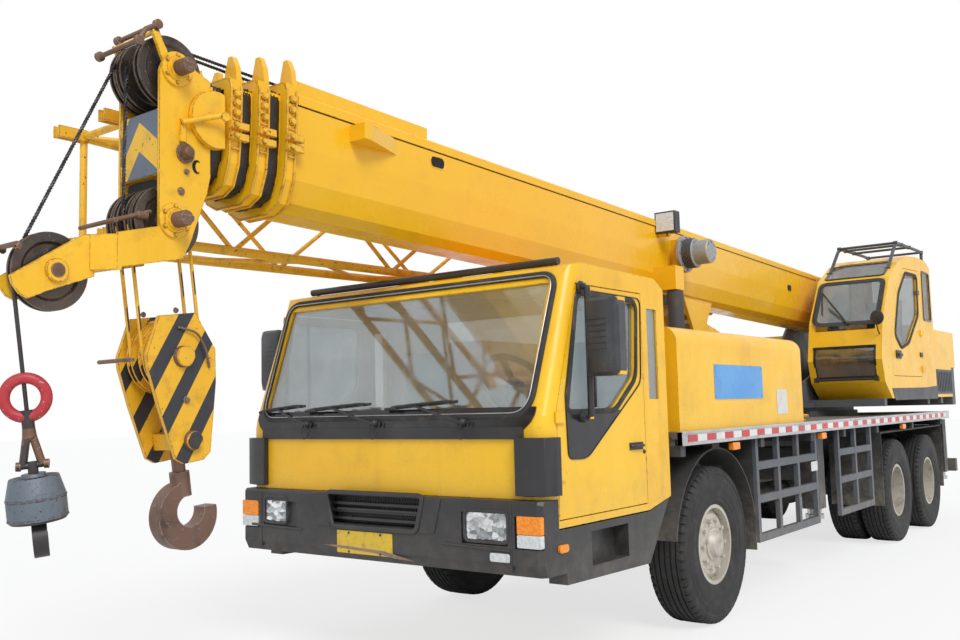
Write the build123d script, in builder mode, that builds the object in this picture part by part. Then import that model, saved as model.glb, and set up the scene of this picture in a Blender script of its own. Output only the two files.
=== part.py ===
from build123d import *
import math
import os

# Three-axle truck-mounted telescopic crane, in millimetres.
# +Z is up, the truck faces -Y and its left side is +X.
# The origin is on the ground, midway along the whole length and at mid width.

os.makedirs("parts", exist_ok=True)

# ---------------------------------------------------------------- driving dimensions
# running gear
front_axle_y = -1680.0
wheelbase = 4600.0
tandem_spread = 1350.0
front_track = 2074.0
rear_track = 1834.0
twin_pitch = 330.0
tyre_radius = 542.0
tyre_width = 290.0
rim_radius = 262.0
rim_wall = 12.0
rim_width = 215.0
hub_radius = 95.0
nut_circle = 168.0
nut_radius = 15.0
nut_count = 10
king_pin_x = 868.0
king_pin_radius = 24.0
axle_tube_radius = 78.0
steer_limit = 32.0

# frame, deck and bumpers
frame_half = 430.0
frame_top = 1180.0
frame_bottom = 740.0
frame_front_y = -620.0
frame_rear_y = 5600.0
rail_depth = 225.0
rail_bottom = 640.0
rail_width = 80.0
rail_outer = 400.0
rail_front_y = -3660.0
deck_half = 1250.0
deck_top = 1340.0
deck_plate = 45.0
deck_edge = 89.0
deck_edge_width = 34.0
weld_seam = 0.3
guard_inset = 36.0
guard_bottom = 470.0
guard_bar = 60.0
guard_thick = 36.0
deck_front_y = -2317.0
deck_rear_y = 5325.0

# slewing ring
slew_y = 3270.0
ring_radius = 700.0
ring_height = 60.0
ring_gap = 0.3
pedestal_radius = 650.0

# carrier cab
cab_half = 1200.0
cab_wall = 40.0
cab_front_y = -3830.0
cab_rear_y = -2410.0
cab_floor_z = 880.0
cab_roof_z = 2345.0
glass_foot_z = 1487.0
glass_top_z = 2252.0
glass_top_y = -3548.0
glass_half = 1070.0
glass_thick = 10.0
glass_margin = 24.0
glass_inset = 12.0
cab_corner = 85.0
door_gap = 6.0
mirror_arm_x = 1262.0
roof_bar_y = -3403.0
roof_bar_lift = 28.0
roof_bar_half = 1040.0
roof_bar_radius = 23.0
mirror_y = -3460.0
mirror_low_z = 1470.0
mirror_top_z = 2200.0
bumper_front_y = -3900.0
bumper_top = 1035.0
bumper_bottom = 640.0
nose_step_y = -3726.0
skirt_front_y = -3660.0

# outriggers
outrigger_ys = (670.0, 5470.0)
bearer_ys = (230.0, 1120.0, 2200.0, 3595.0, 4980.0)
front_bearer_ys = (-2270.0, -900.0)
bar_y = 5675.0
tow_bore = 22.0
beam_width = 130.0
beam_height = 230.0
beam_z = 960.0
beam_clear = 6.0
beam_pitch = 190.0
beam_stroke = 1850.0
housing_wall = 20.0
jack_x = deck_half - 155.0
jack_leg = 160.0
jack_top = 1235.0
jack_foot_z = 480.0
jack_tube = 60.0
jack_bore_clear = 0.3
foot_radius = 78.0
foot_thick = 40.0
jack_stroke = 540.0

# boom
pivot_y = 4670.0
pivot_z = 2550.0
boom_rise = 1.47
boom_offset = 132.0
pivot_pin = 60.0
pin_clear = 0.3
luff_limit = 79.0
section_stroke = 7100.0
collar_thick = 74.0
collar_grow = 22.0
boom_edge = 28.0
rope_lean = 7.3

lug_heights = (150.0, 150.0, 140.0)
ear_inner = 128.0
ear_thick = 30.0

# cable reel and floodlight on the boom's left flank
reel_x = 330.0
reel_y = -236.0
reel_z = 2846.0
reel_radius = 136.0
reel_length = 265.0
flood_y = -530.0
flood_z = 3090.0

# luffing cylinder
foot_pin_y = 3300.0
foot_pin_z = 1640.0
eye_pin_y = 400.0
eye_pin_z = 2285.0
barrel_radius = 115.0
rod_radius = 78.0
barrel_bore = rod_radius + pin_clear
barrel_length = 2760.0

# superstructure
cheek_inner = 345.0
cheek_thick = 28.0
plate_bottom = deck_top + ring_height + ring_gap + 40.0
plate_thick = 50.0
op_inner = 430.0
op_outer = 1215.0
op_wall = 35.0
weight_half = 1195.0
tail_y = 6175.0
# corner rounds of the counterweight and of the housings, which let both slew behind the deck boxes
tail_round = 120.0
housing_round = 50.0

# head and hooks
head_half = 170.0
head_plate = 16.0
nose_half = 65.0
nose_plate = 18.0
top_axle_y = -5388.0
top_axle_z = 3192.0
low_axle_y = -5398.0
low_axle_z = 2452.0
nose_axle_y = -5920.0
nose_axle_z = 2175.0
sheave_radius = 175.0
sheave_width = 44.0
rope_radius = 9.0
hook_x = 0.0
block_half = 130.0
block_plate = 24.0
sheave_pitch = 48.0
groove = 10.5


# ---------------------------------------------------------------- shape helpers
def block(x0, x1, y0, y1, z0, z1, mode=Mode.ADD):
    """A box between two opposite corners."""
    with Locations(((x0 + x1) / 2, (y0 + y1) / 2, (z0 + z1) / 2)):
        Box(x1 - x0, y1 - y0, z1 - z0, mode=mode)


def rod(start, end, radius, mode=Mode.ADD):
    """A round bar from one point to another."""
    run = Vector(*end) - Vector(*start)
    with Locations(Plane(origin=start, z_dir=run)):
        Cylinder(radius, run.length, align=(Align.CENTER, Align.CENTER, Align.MIN), mode=mode)


def side_plate(points, x0, x1, mode=Mode.ADD):
    """A plate standing along the vehicle: an outline of (y, z) points between two x values."""
    with BuildSketch(Plane.YZ.offset(x0)) as outline:
        Polygon(*points, align=None)
    extrude(outline.sketch, amount=x1 - x0, mode=mode)


def cross_bar(y, z, x0, x1, radius, mode=Mode.ADD):
    """A round bar along X."""
    rod((x0, y, z), (x1, y, z), radius, mode)


# ---------------------------------------------------------------- boom frame
rise = math.radians(boom_rise)


def boom_point(forward, up, x=0.0):
    """A point given along and square to the boom, measured from its foot pin."""
    return (
        x,
        pivot_y - forward * math.cos(rise) + up * math.sin(rise),
        pivot_z + forward * math.sin(rise) + up * math.cos(rise),
    )


def boom_section_plane(forward):
    """The plane square to the boom at a distance ahead of its foot pin."""
    return Plane(
        origin=boom_point(forward, boom_offset),
        x_dir=(1, 0, 0),
        z_dir=(0, -math.cos(rise), math.sin(rise)),
    )


# half width, half depth and wall of the four telescopic sections, then the distances
# from the foot pin to the rear end and to the front end of each
boom_table = (
    # half_w, half_d, wall, rear, front
    (237.0, 320.0, 12.0, -330.0, 9440.0),
    (210.0, 293.0, 11.0, 1250.0, 9605.0),
    (183.0, 266.0, 11.0, 1400.0, 9760.0),
    (156.0, 239.0, 10.0, 1550.0, 9960.0),
)
base_half_d = boom_table[0][1]

# corners of a section from the top down, as shares of its half width and half depth
section_shape = (
    # across, up
    (1.0, 1.0),
    (1.0, 0.06),
    (0.94, -0.5),
    (0.755, -0.87),
    (0.41, -1.0),
)


def section_outline(half_w, half_d):
    """A flat-sided tube section with rounded top corners and a bent belly, drawn in the open sketch."""
    right = [(across * half_w, up * half_d) for across, up in section_shape]
    left = [(-x, y) for x, y in reversed(right)]
    Polygon(*right, *left, align=None)


def boom_tube(half_w, half_d, wall, rear, front):
    """One telescopic section: a flat-topped tube with a bent belly."""
    for inset, mode in ((0.0, Mode.ADD), (wall, Mode.SUBTRACT)):
        with BuildSketch(boom_section_plane(rear)) as outline:
            section_outline(half_w - inset, half_d - inset)
            fillet(outline.vertices().group_by(Axis.Y)[-1], boom_edge)
        extrude(outline.sketch, amount=front - rear, mode=mode)


def boom_collar(index, lug_rise):
    """The frame round the mouth of a section, with its slide pads and two pointed lugs on top."""
    half_w, half_d = boom_table[index][:2]
    next_w, next_d = boom_table[index + 1][:2]
    front = boom_table[index][4] + 20
    with BuildSketch(boom_section_plane(front - collar_thick)) as ring:
        section_outline(half_w + collar_grow, half_d + collar_grow)
        with BuildSketch(mode=Mode.SUBTRACT):
            section_outline(next_w + pin_clear, next_d + pin_clear)
    extrude(ring.sketch, amount=collar_thick)
    for side in (-1, 1):
        with BuildSketch(boom_section_plane(front - collar_thick)) as lug:
            foot = half_d + collar_grow - 5
            lug_x = half_w - 30
            Polygon(
                (side * (lug_x - 55), foot),
                (side * (half_w + collar_grow), foot),
                (side * (half_w + 8), foot + lug_rise * 0.6),
                (side * (lug_x + 8), foot + lug_rise),
                (side * (lug_x - 22), foot + lug_rise),
                (side * (lug_x - 40), foot + lug_rise * 0.5),
                align=None,
            )
        extrude(lug.sketch, amount=collar_thick * 0.45)


boom_belly_up = boom_offset - base_half_d


def belly_z(y):
    """Height of the boom's underside at one y, with the boom stowed."""
    forward = (pivot_y - y) / math.cos(rise) + boom_belly_up * math.tan(rise)
    return boom_point(forward, boom_belly_up)[2]


# ================================================================ carrier
rear_axle_ys = (front_axle_y + wheelbase, front_axle_y + wheelbase + tandem_spread)

with BuildPart() as chassis_frame:
    block(-frame_half, frame_half, frame_front_y, frame_rear_y, frame_bottom, frame_top)
    for side in (-1, 1):
        inner, outer = sorted((side * (rail_outer - rail_width), side * rail_outer))
        block(inner, outer, rail_front_y, frame_front_y - weld_seam, rail_bottom, rail_bottom + rail_depth)
    for y in (rail_front_y, -2980.0, -760.0):
        block(-rail_outer, rail_outer, y, y + 70, rail_bottom + 30, rail_bottom + rail_depth - 20)
    # mounts that carry the cab on the rails
    for side in (-1, 1):
        for y in (-3420.0, -2780.0):
            block(*sorted((side * (rail_outer - rail_width), side * rail_outer)), y, y + 90, rail_bottom + rail_depth - 1, cab_floor_z)
    # pedestal and the lower race of the slewing ring
    rod((0, slew_y, frame_top - 10), (0, slew_y, deck_top), pedestal_radius)
    rod((0, slew_y, deck_top), (0, slew_y, deck_top + ring_height), ring_radius)
    # outrigger housings with one slot for each beam
    slot_y = beam_width / 2 + beam_clear
    slot_z = beam_height / 2 + beam_clear
    housing_x = jack_x - jack_leg / 2 - 15
    for y in outrigger_ys:
        half = beam_pitch / 2 + slot_y + housing_wall
        block(-housing_x, housing_x, y - half, y + half, beam_z - slot_z - housing_wall, beam_z + slot_z + housing_wall)
        for side in (-1, 1):
            mid = y + side * beam_pitch / 2
            block(-housing_x - 1, housing_x + 1, mid - slot_y, mid + slot_y, beam_z - beam_height / 2 - pin_clear, beam_z + slot_z, Mode.SUBTRACT)
    # deck bearers and rear under-run bar
    for y in bearer_ys:
        block(-deck_half + 20, deck_half - 20, y - 35, y + 35, frame_top - 1, deck_top - deck_edge)
    for y in front_bearer_ys:
        block(-deck_half + 20, -frame_half - 40, y - 35, y + 35, frame_top, deck_top - deck_edge)
        block(frame_half + 40, deck_half - 20, y - 35, y + 35, frame_top, deck_top - deck_edge)
        for side in (-1, 1):
            block(*sorted((side * (rail_outer - rail_width), side * rail_outer)), y - 35, y + 35, rail_bottom + rail_depth + weld_seam, frame_top)
            block(*sorted((side * (rail_outer - rail_width), side * (frame_half + 60))), y - 35, y + 35, frame_top - 60, frame_top + 1)
    block(-deck_half + 30, deck_half - 30, bar_y, bar_y + 100, 560, 720)
    # towing eye at the rear
    block(-50, 50, bar_y + 99, bar_y + 190, 620, 660)
    rod((0, bar_y + 145, 610), (0, bar_y + 145, 670), tow_bore, Mode.SUBTRACT)
    for side in (-1, 1):
        block(*sorted((side * 330, side * 400)), outrigger_ys[1] + half + weld_seam, bar_y + 90, 560, 1060)
chassis_frame.part.label = "chassis_frame"
export_step(chassis_frame.part, "parts/chassis_frame.step")

with BuildPart() as deck:
    block(-deck_half + 5, deck_half - 5, deck_front_y, deck_rear_y, deck_top - deck_plate, deck_top)
    for side in (-1, 1):
        inner, outer = sorted((side * (deck_half - deck_edge_width), side * deck_half))
        block(inner, outer, deck_front_y, deck_rear_y, deck_top - deck_edge, deck_top)
    for y in bearer_ys + front_bearer_ys:
        block(-deck_half + 60, deck_half - 60, y - 35, y + 35, deck_top - deck_edge, deck_top - deck_plate)
    # wells for the engine and boom rest, and for the slewing pedestal
    block(-frame_half - 40, frame_half + 40, deck_front_y - 1, -380, deck_top - deck_edge - 1, deck_top + 1, Mode.SUBTRACT)
    rod((0, slew_y, deck_top - 200), (0, slew_y, deck_top + 1), ring_radius + 15, Mode.SUBTRACT)
deck.part.label = "deck"
export_step(deck.part, "parts/deck.step")

with BuildPart() as front_bumper:
    side_plate(
        (
            (bumper_front_y + 30, bumper_bottom), (bumper_front_y, bumper_bottom + 60),
            (bumper_front_y, bumper_top - 15), (bumper_front_y + 12, bumper_top),
            (nose_step_y - 2, bumper_top), (nose_step_y - 2, cab_floor_z - 8), (skirt_front_y, cab_floor_z - 8),
            (skirt_front_y, bumper_bottom),
        ),
        -cab_half, cab_half,
    )
    corner_edges = [e for e in front_bumper.edges() if abs(abs(e.center().X) - cab_half) < 1 and e.center().Y < -3850]
    chamfer(corner_edges, 25)
    # recesses for the grille and the lamps
    block(-390, 390, bumper_front_y - 1, bumper_front_y + 90, 850, bumper_top - 8, Mode.SUBTRACT)
    for side in (-1, 1):
        inner, outer = sorted((side * 670, side * 985))
        block(inner, outer, bumper_front_y - 1, bumper_front_y + 70, 795, 965, Mode.SUBTRACT)
        inner, outer = sorted((side * 1030, side * 1210))
        block(inner, outer, bumper_front_y - 60, bumper_front_y + 90, 785, 955, Mode.SUBTRACT)
    for z in (880.0, 925.0, 970.0):
        block(-392, 392, bumper_front_y + 40, bumper_front_y + 60, z - 8, z + 8)
front_bumper.part.label = "front_bumper"
export_step(front_bumper.part, "parts/front_bumper.step")

# head lamps and corner flashers, one solid each in its recess
with BuildPart() as lamps:
    for side in (-1, 1):
        inner, outer = sorted((side * 675, side * 980))
        block(inner, outer, bumper_front_y + 10, bumper_front_y + 70, 800, 960)
        inner, outer = sorted((side * 1035, side * 1190))
        block(inner, outer, bumper_front_y + 8, bumper_front_y + 90, 790, 950)
lamps.part.label = "lamps"
export_step(lamps.part, "parts/lamps.step")

# ---------------------------------------------------------------- carrier cab
foot_y = cab_front_y + 11
cab_outline = (
    (cab_front_y, bumper_top + 2),
    (cab_front_y, glass_foot_z - 60),
    (foot_y, glass_foot_z),
    (glass_top_y, glass_top_z),
    (glass_top_y + 48, cab_roof_z - 20),
    (glass_top_y + 130, cab_roof_z),
    (cab_rear_y - 120, cab_roof_z - 15),
    (cab_rear_y, cab_roof_z - 80),
    (cab_rear_y, cab_floor_z + 60),
    (-2700.0, cab_floor_z),
    (nose_step_y, cab_floor_z),
    (nose_step_y, bumper_top + 2),
)
door_outline = (
    (-3715.0, 925.0), (-2725.0, 925.0), (-2725.0, 2215.0), (-3480.0, 2215.0), (-3715.0, 1520.0),
)
door_window = ((-3600.0, 1512.0), (-3094.0, 1512.0), (-2835.0, 1700.0), (-2800.0, 2150.0), (-3462.0, 2150.0))
quarter_window = ((-2650.0, 1560.0), (-2520.0, 1560.0), (-2520.0, 2130.0), (-2650.0, 2130.0))


def grown(points, distance):
    """An outline moved outward by a clearance."""
    with BuildSketch(Plane.YZ) as outline:
        Polygon(*points, align=None)
        offset(amount=distance, kind=Kind.INTERSECTION)
    return outline.sketch


rake = Vector(glass_top_y - foot_y, glass_top_z - glass_foot_z)
rake_run = rake.normalized()


def glass_strip(outside, inside):
    """A strip along the windscreen between two depths, measured square to it and inward."""
    corners = []
    for along, depth in (
        (glass_margin, outside), (glass_margin, inside),
        (rake.length - glass_margin, inside), (rake.length - glass_margin, outside),
    ):
        corners.append((
            foot_y + along * rake_run.X + depth * rake_run.Y,
            glass_foot_z + along * rake_run.Y - depth * rake_run.X,
        ))
    return tuple(corners)


with BuildPart() as cab_shell:
    side_plate(cab_outline, -cab_half, cab_half)
    corner_edges = [
        e for e in cab_shell.edges()
        if abs(abs(e.center().X) - cab_half) < 1 and e.center().Y < glass_top_y + 20 and e.center().Z > bumper_top + 10
    ]
    fillet(corner_edges, cab_corner)
    with BuildSketch(Plane.YZ.offset(-cab_half + cab_wall)) as hollow:
        Polygon(*cab_outline, align=None)
        offset(amount=-cab_wall, kind=Kind.INTERSECTION)
    extrude(hollow.sketch, amount=2 * (cab_half - cab_wall), mode=Mode.SUBTRACT)
    # door openings, quarter windows, rear window
    opening = grown(door_outline, door_gap)
    for side in (-1, 1):
        plane_x = side * (cab_half + 5)
        extrude(opening.moved(Location((plane_x, 0, 0))), amount=-side * (cab_wall + 12), mode=Mode.SUBTRACT)
    side_plate(quarter_window, -cab_half - 1, cab_half + 1, Mode.SUBTRACT)
    block(-620, 620, cab_rear_y - cab_wall - 5, cab_rear_y + 5, 1680, 2180, Mode.SUBTRACT)
    # windscreen opening, square to the raked glass
    side_plate(glass_strip(-80, cab_wall + 60), -glass_half, glass_half, Mode.SUBTRACT)
cab_shell.part.label = "cab_shell"
export_step(cab_shell.part, "parts/cab_shell.step")

with BuildPart() as cab_glass:
    side_plate(glass_strip(glass_inset, glass_inset + glass_thick), -glass_half, glass_half)
    for side in (-1, 1):
        inner, outer = sorted((side * (cab_half - 20), side * (cab_half - 10)))
        side_plate(quarter_window, inner, outer)
    block(-620, 620, cab_rear_y - 25, cab_rear_y - 15, 1680, 2180)
cab_glass.part.label = "cab_glass"
export_step(cab_glass.part, "parts/cab_glass.step")

hinge_radius = 11.0
hinge_x = cab_half + hinge_radius + pin_clear
hinge_y = -3733.0
for side, name in ((1, "left"), (-1, "right")):
    with BuildPart() as cab_door:
        inner, outer = sorted((side * (cab_half - cab_wall), side * cab_half))
        side_plate(door_outline, inner, outer)
        side_plate(door_window, inner - 1, outer + 1, Mode.SUBTRACT)
        for z in (1130.0, 1440.0):
            rod((side * hinge_x, hinge_y, z), (side * hinge_x, hinge_y, z + 60), hinge_radius)
            block(*sorted((side * cab_half, side * (hinge_x + 6))), hinge_y + 8, hinge_y + 70, z, z + 60)
        # mirror on a long upright arm that stands off the door's front edge
        foot = side * (cab_half - 2)
        arm = side * mirror_arm_x
        rod((foot, mirror_y, mirror_low_z), (arm, mirror_y, mirror_low_z), 15)
        rod((arm, mirror_y, mirror_low_z - 14), (arm, mirror_y, mirror_top_z + 14), 14)
        rod((foot, mirror_y, mirror_top_z), (arm, mirror_y, mirror_top_z), 15)
        block(*sorted((side * (mirror_arm_x + 12), side * (mirror_arm_x + 215))), mirror_y - 38, mirror_y + 38, 1695, 2120)
        block(*sorted((side * mirror_arm_x, side * (mirror_arm_x + 20))), mirror_y - 20, mirror_y + 20, 1900, 2000)
    cab_door.part.label = "cab_door_" + name
    export_step(cab_door.part, "parts/cab_door_" + name + ".step")

with BuildPart() as cab_trim:
    # gloss panel under the windscreen and the two corner vanes
    block(-1060, 1060, cab_front_y - 16, cab_front_y, 1358, 1424)
    for side in (-1, 1):
        inner, outer = sorted((side * 1050, side * (cab_half - cab_corner)))
        block(inner, outer, cab_front_y - 22, cab_front_y, bumper_top + 20, 1352)
        # skirt with the step well, below the door
        inner, outer = sorted((side * (cab_half - 120), side * cab_half))
        side_plate(
            (
                (skirt_front_y, 575.0), (-2720.0, 560.0), (-2440.0, cab_floor_z + 50), (-2705.0, cab_floor_z - 8),
                (skirt_front_y, cab_floor_z - 8),
            ),
            inner, outer,
        )
        block(inner - 1 if side < 0 else inner + 20, outer - 20 if side < 0 else outer + 1, -3400, -2980, 640, 830, Mode.SUBTRACT)
        block(*sorted((side * rail_outer, side * (cab_half - 60))), -3640, -3560, 700, 780)
    # roof bar on three feet, and a flat beacon base
    cross_bar(roof_bar_y, cab_roof_z + roof_bar_lift, -roof_bar_half, roof_bar_half, roof_bar_radius)
    for x in (60 - roof_bar_half, 0, roof_bar_half - 60):
        rod((x, roof_bar_y, cab_roof_z), (x, roof_bar_y, cab_roof_z + roof_bar_lift), 14)
cab_trim.part.label = "cab_trim"
export_step(cab_trim.part, "parts/cab_trim.step")

# seats: cushion and back for the driver and the mate
with BuildPart() as cab_seats:
    for x in (650.0, -650.0):
        block(x - 250, x + 250, -3150, -2650, cab_floor_z + 420, cab_floor_z + 540)
        block(x - 240, x + 240, -2650, -2540, cab_floor_z + 430, cab_floor_z + 1080)
cab_seats.part.label = "cab_seats"
export_step(cab_seats.part, "parts/cab_seats.step")

wheel_tilt = Plane(origin=(650, -3330, 1650), z_dir=(0, 160, 130))
with BuildPart() as cab_dashboard:
    side_plate(
        (
            (cab_front_y + cab_wall + 20, bumper_top + cab_wall + 2), (cab_front_y + cab_wall + 20, 1440.0),
            (-3560.0, 1470.0), (-3380.0, 1400.0), (-3420.0, bumper_top + cab_wall + 2),
        ),
        -cab_half + cab_wall, cab_half - cab_wall,
    )
    for x in (650.0, -650.0):
        block(x - 200, x + 200, -3120, -2712, cab_floor_z + cab_wall, cab_floor_z + 420)
    rod((650, -3458.0, 1435.8), (650, -3330, 1650), 28)
    with BuildSketch(wheel_tilt) as rim_sketch:
        Circle(240)
        Circle(208, mode=Mode.SUBTRACT)
        Rectangle(440, 30)
        Circle(60)
    extrude(rim_sketch.sketch, amount=24)
cab_dashboard.part.label = "cab_dashboard"
export_step(cab_dashboard.part, "parts/cab_dashboard.step")

# ---------------------------------------------------------------- on the deck
with BuildPart() as deck_boxes:
    for side in (-1, 1):
        inner, outer = sorted((side * 480, side * 1180))
        block(inner, outer, -2200, 180, deck_top, 2050)
    long_edges = [e for e in deck_boxes.edges().filter_by(Axis.Y) if e.center().Z > 2000 and abs(e.center().X) > 1000]
    fillet(long_edges, 110)
    block(-481, 481, -2200, -1250, 1640, 1700)
deck_boxes.part.label = "deck_boxes"
export_step(deck_boxes.part, "parts/deck_boxes.step")

with BuildPart() as engine_block:
    block(-rail_outer + rail_width + 10, rail_outer - rail_width - 10, -2200, -1100, 800, 1640)
    block(-rail_outer + rail_width, rail_outer - rail_width, -2150, -1150, 790, 850)
engine_block.part.label = "engine_block"
export_step(engine_block.part, "parts/engine_block.step")

rest_y = -540.0
rest_x = 380.0
rest_gap = 9.0
rest_radius = 70.0
with BuildPart() as boom_rest:
    saddle_top = belly_z(rest_y) - rest_gap
    for side in (-1, 1):
        block(side * rest_x - 45, side * rest_x + 45, rest_y - 90, rest_y + 90, frame_top, frame_top + 16)
        rod((side * rest_x, rest_y, frame_top), (side * rest_x, rest_y, saddle_top), rest_radius)
    block(-rest_x, rest_x, rest_y - 50, rest_y + 50, saddle_top - 110, saddle_top - 30)
boom_rest.part.label = "boom_rest"
export_step(boom_rest.part, "parts/boom_rest.step")

# welded guards between the wheels
guard_table = (
    # front y, rear y, posts
    (-1008.0, 372.0, 4),
    (950.0, 2010.0, 3),
)
with BuildPart() as side_guards:
    for side in (-1, 1):
        inner, outer = sorted((side * (deck_half - guard_inset - guard_thick), side * (deck_half - guard_inset)))
        for y0, y1, posts in guard_table:
            for lift in (0.0, 290.0, 540.0):
                block(inner, outer, y0, y1, guard_bottom + lift, guard_bottom + lift + guard_bar)
            for k in range(posts):
                y = y0 + (y1 - y0 - 50) * k / (posts - 1)
                block(inner, outer, y, y + 50, guard_bottom, deck_top - deck_plate)
side_guards.part.label = "side_guards"
export_step(side_guards.part, "parts/side_guards.step")

arch_radius = 660.0
arch_thick = 12.0
with BuildPart() as mudguards:
    for side in (-1, 1):
        inner, outer = sorted((side * (deck_half - 370), side * (deck_half - 55)))
        with BuildSketch(Plane.YZ.offset(inner)) as arch:
            with Locations((front_axle_y, tyre_radius)):
                Circle(arch_radius + arch_thick)
                Circle(arch_radius, mode=Mode.SUBTRACT)
            with Locations((front_axle_y, tyre_radius + 100)):
                Rectangle(3000, 1500, align=(Align.CENTER, Align.MAX), mode=Mode.SUBTRACT)
        extrude(arch.sketch, amount=outer - inner)
        top_z = tyre_radius + arch_radius + arch_thick
        block(inner, outer, front_axle_y - 60, front_axle_y + 60, top_z - 6, deck_top - deck_plate)
        block(inner, outer, -1030, -1018, 420, deck_top - deck_plate)
        # rear wing over the tandem, with a flap at each end
        inner, outer = sorted((side * 700, side * (deck_half - 18)))
        block(inner, outer, rear_axle_ys[0] - 640, rear_axle_ys[1] + 640, frame_top - 16, frame_top - 1)
        for y in (rear_axle_ys[0] - 640, rear_axle_ys[1] + 628):
            block(inner, outer, y, y + 12, 430, frame_top - 1)
mudguards.part.label = "mudguards"
export_step(mudguards.part, "parts/mudguards.step")

# ---------------------------------------------------------------- axles
with BuildPart() as front_axle:
    beam_drop = 90.0
    block(-560, 560, front_axle_y - 50, front_axle_y + 50, tyre_radius - beam_drop - 55, tyre_radius - beam_drop + 55)
    for side in (-1, 1):
        end = side * king_pin_x
        side_plate(
            (
                (front_axle_y - 50, tyre_radius - beam_drop - 55), (front_axle_y + 50, tyre_radius - beam_drop - 55),
                (front_axle_y + 50, tyre_radius + 55), (front_axle_y - 50, tyre_radius + 55),
            ),
            *sorted((side * 540, side * 620)),
        )
        block(*sorted((side * 600, end)), front_axle_y - 50, front_axle_y + 50, tyre_radius - 55, tyre_radius + 55)
        rod((end, front_axle_y, tyre_radius - 55), (end, front_axle_y, tyre_radius + 55), 50)
        rod((end, front_axle_y, tyre_radius - 56), (end, front_axle_y, tyre_radius + 56), king_pin_radius + pin_clear, Mode.SUBTRACT)
        # leaf spring pack from hanger to hanger under the rail
        spring = sorted((side * (rail_outer - rail_width + 2), side * (rail_outer - 2)))
        side_plate(
            (
                (front_axle_y - 780, 598), (front_axle_y - 90, tyre_radius - beam_drop + 55),
                (front_axle_y + 90, tyre_radius - beam_drop + 55), (front_axle_y + 780, 598),
                (front_axle_y + 780, 625), (front_axle_y + 90, tyre_radius - beam_drop + 130),
                (front_axle_y - 90, tyre_radius - beam_drop + 130), (front_axle_y - 780, 625),
            ),
            *spring,
        )
        for y in (front_axle_y - 780, front_axle_y + 720):
            block(*spring, y, y + 60, 598, rail_bottom)
front_axle.part.label = "front_axle"
export_step(front_axle.part, "parts/front_axle.step")

rear_stub_x = rear_track / 2 - twin_pitch / 2 - tyre_width / 2 - 10
with BuildPart() as rear_axles:
    for y in rear_axle_ys:
        cross_bar(y, tyre_radius, -rear_track / 2 - 150, rear_track / 2 + 150, 55)
        cross_bar(y, tyre_radius, -rear_stub_x, rear_stub_x, axle_tube_radius)
        with Locations((0, y, tyre_radius)):
            Sphere(190)
        rod((0, y - 330, tyre_radius), (0, y, tyre_radius), 90)
    rod((0, frame_front_y + 300, tyre_radius + 120), (0, rear_axle_ys[0] - 300, tyre_radius), 45)
    rod((0, rear_axle_ys[0] + 180, tyre_radius), (0, rear_axle_ys[1] - 300, tyre_radius), 40)
    mid_y = sum(rear_axle_ys) / 2
    for side in (-1, 1):
        side_plate(
            (
                (rear_axle_ys[0] - 60, tyre_radius + 70), (rear_axle_ys[1] + 60, tyre_radius + 70),
                (rear_axle_ys[1] + 60, tyre_radius + 110), (mid_y + 110, 790), (mid_y - 110, 790),
                (rear_axle_ys[0] - 60, tyre_radius + 110),
            ),
            *sorted((side * 460, side * 550)),
        )
        block(*sorted((side * frame_half, side * 550)), mid_y - 90, mid_y + 90, 760, 900)
rear_axles.part.label = "rear_axles"
export_step(rear_axles.part, "parts/rear_axles.step")

# ---------------------------------------------------------------- steering knuckles
knuckle_gap = 0.3
stub_radius = 40.0
for side, name in ((1, "left"), (-1, "right")):
    with BuildPart() as knuckle:
        end = side * king_pin_x
        rod((end, front_axle_y, tyre_radius - 110), (end, front_axle_y, tyre_radius + 110), king_pin_radius)
        for low, high in ((tyre_radius + 55 + knuckle_gap, tyre_radius + 110), (tyre_radius - 110, tyre_radius - 55 - knuckle_gap)):
            rod((end, front_axle_y, low), (end, front_axle_y, high), 50)
            block(*sorted((end, end + side * 95)), front_axle_y - 45, front_axle_y + 45, low, high)
        block(*sorted((end + side * 62, end + side * 95)), front_axle_y - 60, front_axle_y + 60, tyre_radius - 110, tyre_radius + 110)
        cross_bar(front_axle_y, tyre_radius, end + side * 90, side * (front_track / 2 + 95), stub_radius)
    knuckle.part.label = "knuckle_" + name
    export_step(knuckle.part, "parts/knuckle_" + name + ".step")


# ---------------------------------------------------------------- wheels
def tyre_section(centre):
    """Half of a tyre's cross-section in (x, radius), ready to turn about the axle."""
    half = tyre_width / 2
    seat = rim_width / 2
    return (
        (centre - seat, rim_radius), (centre - seat, rim_radius + 12.5), (centre - seat - 18, rim_radius + 12.5),
        (centre - half + 8, rim_radius + 70), (centre - half, rim_radius + 150),
        (centre - half + 12, tyre_radius - 35), (centre - half + 40, tyre_radius), (centre + half - 40, tyre_radius),
        (centre + half - 12, tyre_radius - 35), (centre + half, rim_radius + 150), (centre + half - 8, rim_radius + 70),
        (centre + seat + 18, rim_radius + 12.5), (centre + seat, rim_radius + 12.5), (centre + seat, rim_radius),
    )


def turned(points, y):
    """A ring turned about the axle from an outline of (x, radius) points."""
    with BuildSketch(Plane(origin=(0, y, tyre_radius), x_dir=(1, 0, 0), z_dir=(0, -1, 0))) as outline:
        Polygon(*points, align=None)
    revolve(outline.sketch, axis=Axis((0, y, tyre_radius), (1, 0, 0)))


def barrel_section(centre):
    """The rim's barrel with a lip at each side."""
    seat = rim_width / 2
    return (
        (centre - seat - 14, rim_radius + 12), (centre - seat, rim_radius + 12), (centre - seat, rim_radius),
        (centre + seat, rim_radius), (centre + seat, rim_radius + 12), (centre + seat + 14, rim_radius + 12),
        (centre + seat + 14, rim_radius - rim_wall), (centre - seat - 14, rim_radius - rim_wall),
    )


def mirrored_x(points, side):
    """The same outline on the chosen side of the vehicle."""
    return tuple((side * x, r) for x, r in points)


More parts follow.
